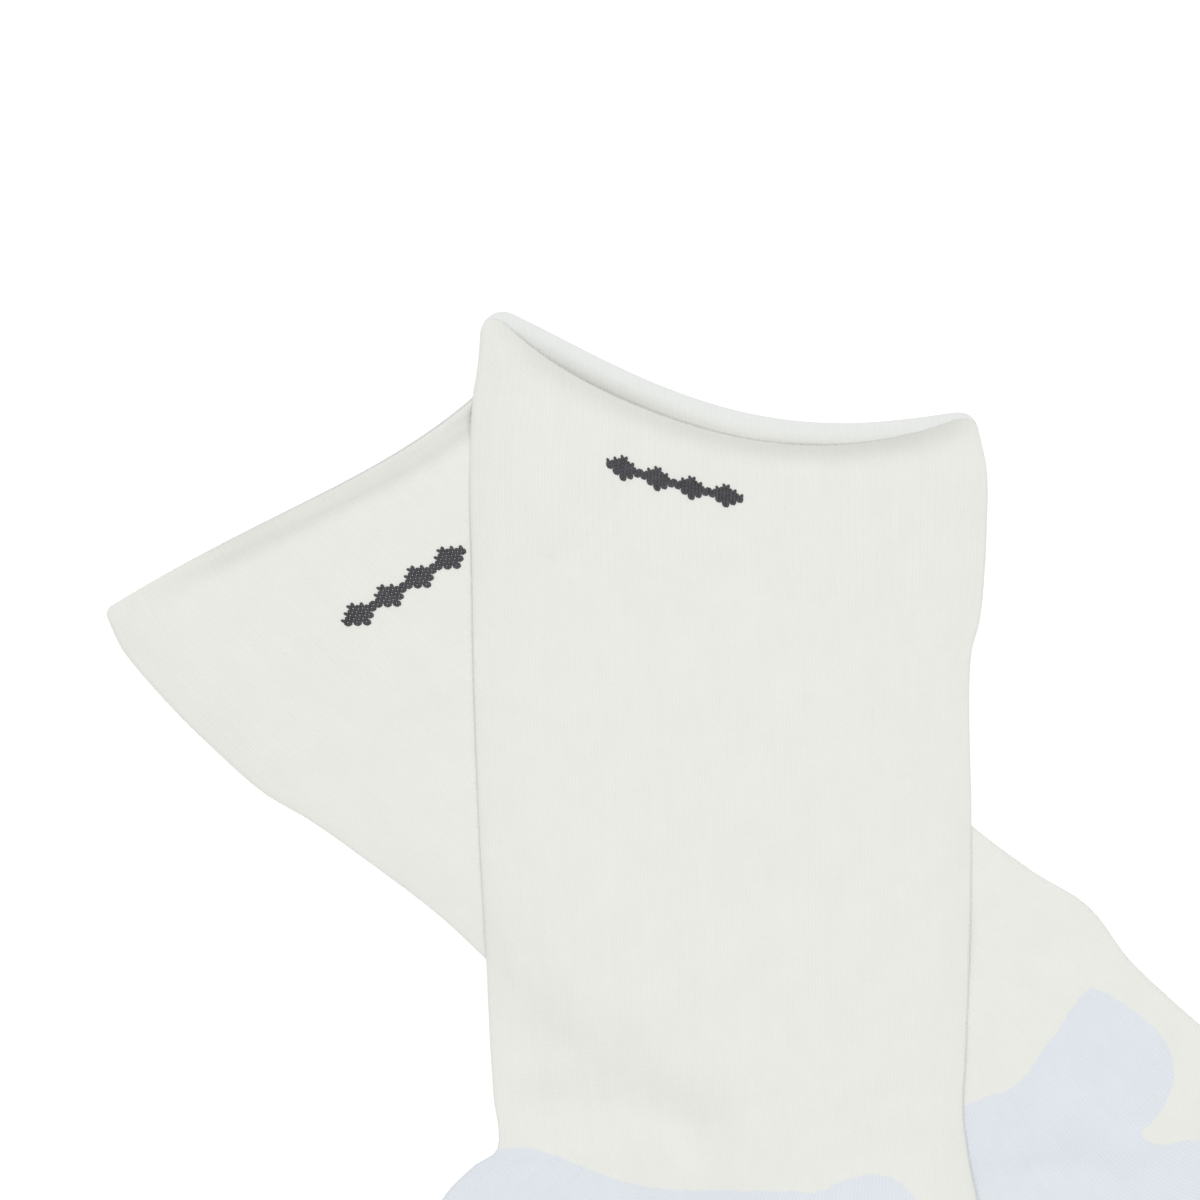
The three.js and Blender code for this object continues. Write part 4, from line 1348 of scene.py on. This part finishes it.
@dataclass
class Sock:
    """One sock: its form, the sizes of its pieces, and the finishes that dress them.

    Lengths are millimetres. Columns are how many go over the near wall, the far wall and each side fold.
    """

    form: SockForm
    finishes: Finishes
    cuts: dict[str, Cut]
    motif_along: float
    motif_wale: int
    rests_on: tuple[str, ...] = ("table_top",)
    welt_depth: float = 38.0
    welt_fill: float = 0.85
    welt_columns: tuple[int, int, int] = (210, 150, 12)
    inside_rows: int = 26
    fine_depth: float = 8.0
    fine_step: float = 0.5
    body_columns: tuple[int, int, int] = (90, 60, 8)
    toe_columns: tuple[int, int, int] = (90, 90, 8)
    leg_wall: float = 0.38
    terry_wall: float = 0.4
    hem_drop: float = 0.02
    hem_lap: float = 0.15
    hem_fade: float = 4.0
    tip_round: float = 1.3
    seam_half: float = 0.7
    seam_height: float = 0.5
    seam_sink: float = 0.1
    seam_beads: float = 0.12
    seam_end: float = 1.3
    seam_columns: int = 280
    step: float = 1.3

    def columns(self, near: int, far: int, fold: int) -> np.ndarray:
        """Spreads columns round the tube.

        Args:
            near: How many go over the near wall.
            far: How many go over the far wall.
            fold: How many go round each side fold.

        Returns:
            Ways round the tube, from 0 to 4.
        """
        counts = (near, fold, far, fold)
        parts = [start + np.linspace(0, 1, count, endpoint=False) for start, count in enumerate(counts)]
        return np.concatenate([*parts, [4.0]])

    def stretch(self, start: float, end: float) -> np.ndarray:
        """Places along the sock from one to another, a step apart."""
        return np.linspace(start, end, max(2, round(abs(end - start) / self.step) + 1))

    def welt(self) -> ClothPiece:
        """The turned welt: inside face, rolled rim, and ribbed outside that ends in a soft hem.

        Returns:
            The piece, not yet built.
        """
        wall = self.form.table[0, 4] / 2 * self.form.pressed * self.welt_fill
        radius = wall / 2
        inside = np.linspace(self.welt_depth, radius, self.inside_rows)[:-1]
        roll = np.radians(np.arange(0, 181, 18))
        fine = np.arange(radius, self.fine_depth, self.fine_step)[1:]
        outside = np.concatenate([fine, self.stretch(self.fine_depth, self.welt_depth)])
        rows = [inside, radius - radius * np.sin(roll), outside, inside[:1]]
        depths = [np.full(len(inside), wall), radius + radius * np.cos(roll), np.zeros(len(outside)), [wall]]
        return ClothPiece(
            form=self.form,
            name=f"{self.form.name}_welt_rib",
            rows=np.concatenate(rows),
            depths=np.concatenate(depths),
            columns=self.columns(*self.welt_columns),
            turned=True,
        )

    def body_piece(self, part: str, start: float, end: float, side: Side | None, terry: bool) -> ClothPiece:
        """A stretch of the leg and foot, on one side of the padded patch's edge.

        Args:
            part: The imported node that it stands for, without the sock's name.
            start: Way along the sock where it begins, in millimetres.
            end: Way along the sock where it ends.
            side: Side of the padded patch's edge that is kept, or none to keep all.
            terry: Whether it is padded cloth.

        Returns:
            The piece, not yet built.
        """
        rows = self.stretch(start, end)
        depths = np.zeros(len(rows))
        if start == self.welt_depth:
            rows = np.concatenate([[start - self.hem_lap], rows])
            depths = self.hem_drop * (1 - smooth_step(rows, start, start + self.hem_fade))
        at_tip = end >= self.form.length
        if at_tip:
            rows = rows[rows < end - self.tip_round]
            turn = np.radians(np.arange(0, 91, 15))
            blunt = self.form.fold_radius(self.form.section(np.array([end])))
            depths = np.concatenate([np.zeros(len(rows)), blunt * (1 - np.cos(turn))])
            rows = np.concatenate([rows, end - self.tip_round * (1 - np.sin(turn))])
        return ClothPiece(
            form=self.form,
            name=f"{self.form.name}_{part}_{'terry' if terry else 'knit'}",
            rows=rows,
            depths=depths,
            columns=self.columns(*(self.toe_columns if at_tip else self.body_columns)),
            side=side,
            thickness=self.terry_wall if terry else self.leg_wall,
            plain=INSIDE_PATCH if terry else OUTSIDE_PATCH,
        )

    def toe_seam(self) -> ClothPiece:
        """The linked seam that closes the toe: a thin raised chain over the near wall.

        Returns:
            The piece, not yet built.
        """
        middle = self.form.length - self.form.toe_depth
        turn = np.radians(np.arange(0, 181, 20))
        return ClothPiece(
            form=self.form,
            name=f"{self.form.name}_toe_seam",
            rows=middle - self.seam_half * np.cos(turn),
            depths=self.seam_sink - self.seam_height * np.sin(turn),
            columns=np.linspace(0.0, self.seam_end, self.seam_columns),
            thickness=self.terry_wall,
            plain=INSIDE_PATCH,
            beads=self.seam_beads,
        )

    def dress(self, cloth: ClothPiece, part: str, finish: bpy.types.Material) -> None:
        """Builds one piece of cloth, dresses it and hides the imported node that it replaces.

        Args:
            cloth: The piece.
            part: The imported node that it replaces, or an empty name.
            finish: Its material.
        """
        piece = cloth.build()
        piece.data.materials.append(finish)
        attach(piece, "root")
        if part:
            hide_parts(f"{self.form.name}_{part}")
        if part in self.cuts:
            self.cuts[part].declare(piece, self.rests_on)
        log.info("%s: %d points", piece.name, len(piece.data.vertices))

    def build(self) -> None:
        """Builds and dresses every piece of the sock."""
        toe = self.form.length - self.form.toe_depth
        leg = self.body_piece("leg", self.welt_depth, toe, Side.OUTSIDE, terry=False)
        sole = self.body_piece("heel_sole", self.welt_depth, toe, Side.INSIDE, terry=True)
        pocket = self.body_piece("toe", toe, self.form.length, None, terry=True)
        self.dress(self.welt(), "welt", self.finishes.rib)
        self.dress(leg, "leg", self.finishes.ivory)
        self.dress(sole, "heel_sole", self.finishes.ice)
        self.dress(pocket, "toe", self.finishes.ice)
        self.dress(self.toe_seam(), "", self.finishes.ice)
        motif = Motif(self.form, self.motif_along, self.motif_wale, self.finishes.charcoal).build()
        nap = Nap(self.form, self.finishes.fibre).build()
        for piece in (motif, nap):
            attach(piece, "root")
            log.info("%s: %d points", piece.name, len(piece.data.vertices))


UPPER_CUTS = {
    "welt": Cut(180.0, 38.0, 6300.0),
    "leg": Cut(190.0, 310.0, 25700.0),
    "heel_sole": Cut(170.0, 240.0, 30500.0),
    "toe": Cut(171.0, 27.5, 3880.0),
}
LOWER_CUTS = {
    "welt": Cut(180.0, 38.0, 6800.0),
    "leg": Cut(186.0, 310.0, 26300.0),
    "heel_sole": Cut(165.0, 236.0, 26600.0),
    "toe": Cut(171.0, 27.5, 3880.0),
}


@dataclass
class Studio:
    """The white light table, the soft light over it and the camera that looks straight down, in metres."""

    view_width: float = 0.210
    lens: float = 250.0
    sensor: float = 36.0
    cloth_height: float = 0.004
    table_half: float = 3.0
    table_drop: float = 0.0001
    sky: float = 0.60
    lamp_place: tuple[float, float, float] = (-0.04, 0.27, 1.5)
    lamp_size: float = 1.5
    lamp_power: float = 12.7

    def build(self) -> None:
        """Makes the table, the lights and the camera."""
        self.table()
        self.light()
        self.camera()

    def table(self) -> None:
        """A white light table, a hair below the socks, that shines through a little."""
        bm = bmesh.new()
        bmesh.ops.create_grid(bm, x_segments=1, y_segments=1, size=self.table_half)
        bmesh.ops.translate(bm, verts=bm.verts, vec=(0, 0, -self.table_drop))
        mesh = bpy.data.meshes.new("table_top")
        bm.to_mesh(mesh)
        bm.free()
        mesh.materials.append(TableFinish().build())
        new_object(mesh)

    def light(self) -> None:
        """Even light from all round, and a wide soft box overhead, a little towards the picture's top."""
        world = bpy.data.worlds.new("studio")
        bpy.context.scene.world = world
        world.use_nodes = True
        background = world.node_tree.nodes["Background"]
        background.inputs["Color"].default_value = linear("#FFFFFF")
        background.inputs["Strength"].default_value = self.sky
        box = bpy.data.lights.new("soft_box", "AREA")
        box.shape = "SQUARE"
        box.size = self.lamp_size
        box.energy = self.lamp_power
        lamp = new_object(box)
        lamp.location = self.lamp_place
        lamp.rotation_euler = (-lamp.location).to_track_quat("-Z", "Y").to_euler()

    def camera(self) -> None:
        """A long lens over the photograph's centre, looking straight down with +Y up the picture."""
        lens = bpy.data.cameras.new("camera")
        lens.lens = self.lens
        lens.sensor_width = self.sensor
        lens.clip_start = 0.05
        camera = new_object(lens)
        height = self.view_width * self.lens / self.sensor + self.cloth_height
        camera.location = (*(-ORIGIN[:2] * MM), height)
        bpy.context.scene.camera = camera
        bpy.context.scene.view_settings.view_transform = "Standard"


def main() -> None:
    """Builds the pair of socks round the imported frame, then the studio."""
    logging.basicConfig(level=logging.INFO, format="%(name)s: %(message)s")
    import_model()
    finishes = Finishes()
    lower = SockForm(
        name="lower",
        ankle_rows=LOWER_ROWS,
        foot=Foot((144.8, -128.0), -3, 41.5, 118),
        mouth=LOWER_MOUTH,
        folds=LOWER_FOLDS,
        patch=LOWER_PATCH,
        seed=1.0,
    )
    upper = SockForm(
        name="upper",
        ankle_rows=UPPER_ROWS,
        foot=Foot((64.4, -205.5), -45, 41.5, 110),
        mouth=UPPER_MOUTH,
        folds=UPPER_FOLDS,
        patch=UPPER_PATCH,
        seed=2.0,
        under=lower,
    )
    Sock(lower, finishes, LOWER_CUTS, motif_along=21.0, motif_wale=26).build()
    below = ("table_top", "lower_welt_rib", "lower_leg_knit", "lower_heel_sole_terry")
    Sock(upper, finishes, UPPER_CUTS, motif_along=13.0, motif_wale=20, rests_on=below).build()
    Studio().build()


if __name__ == "__main__":
    main()
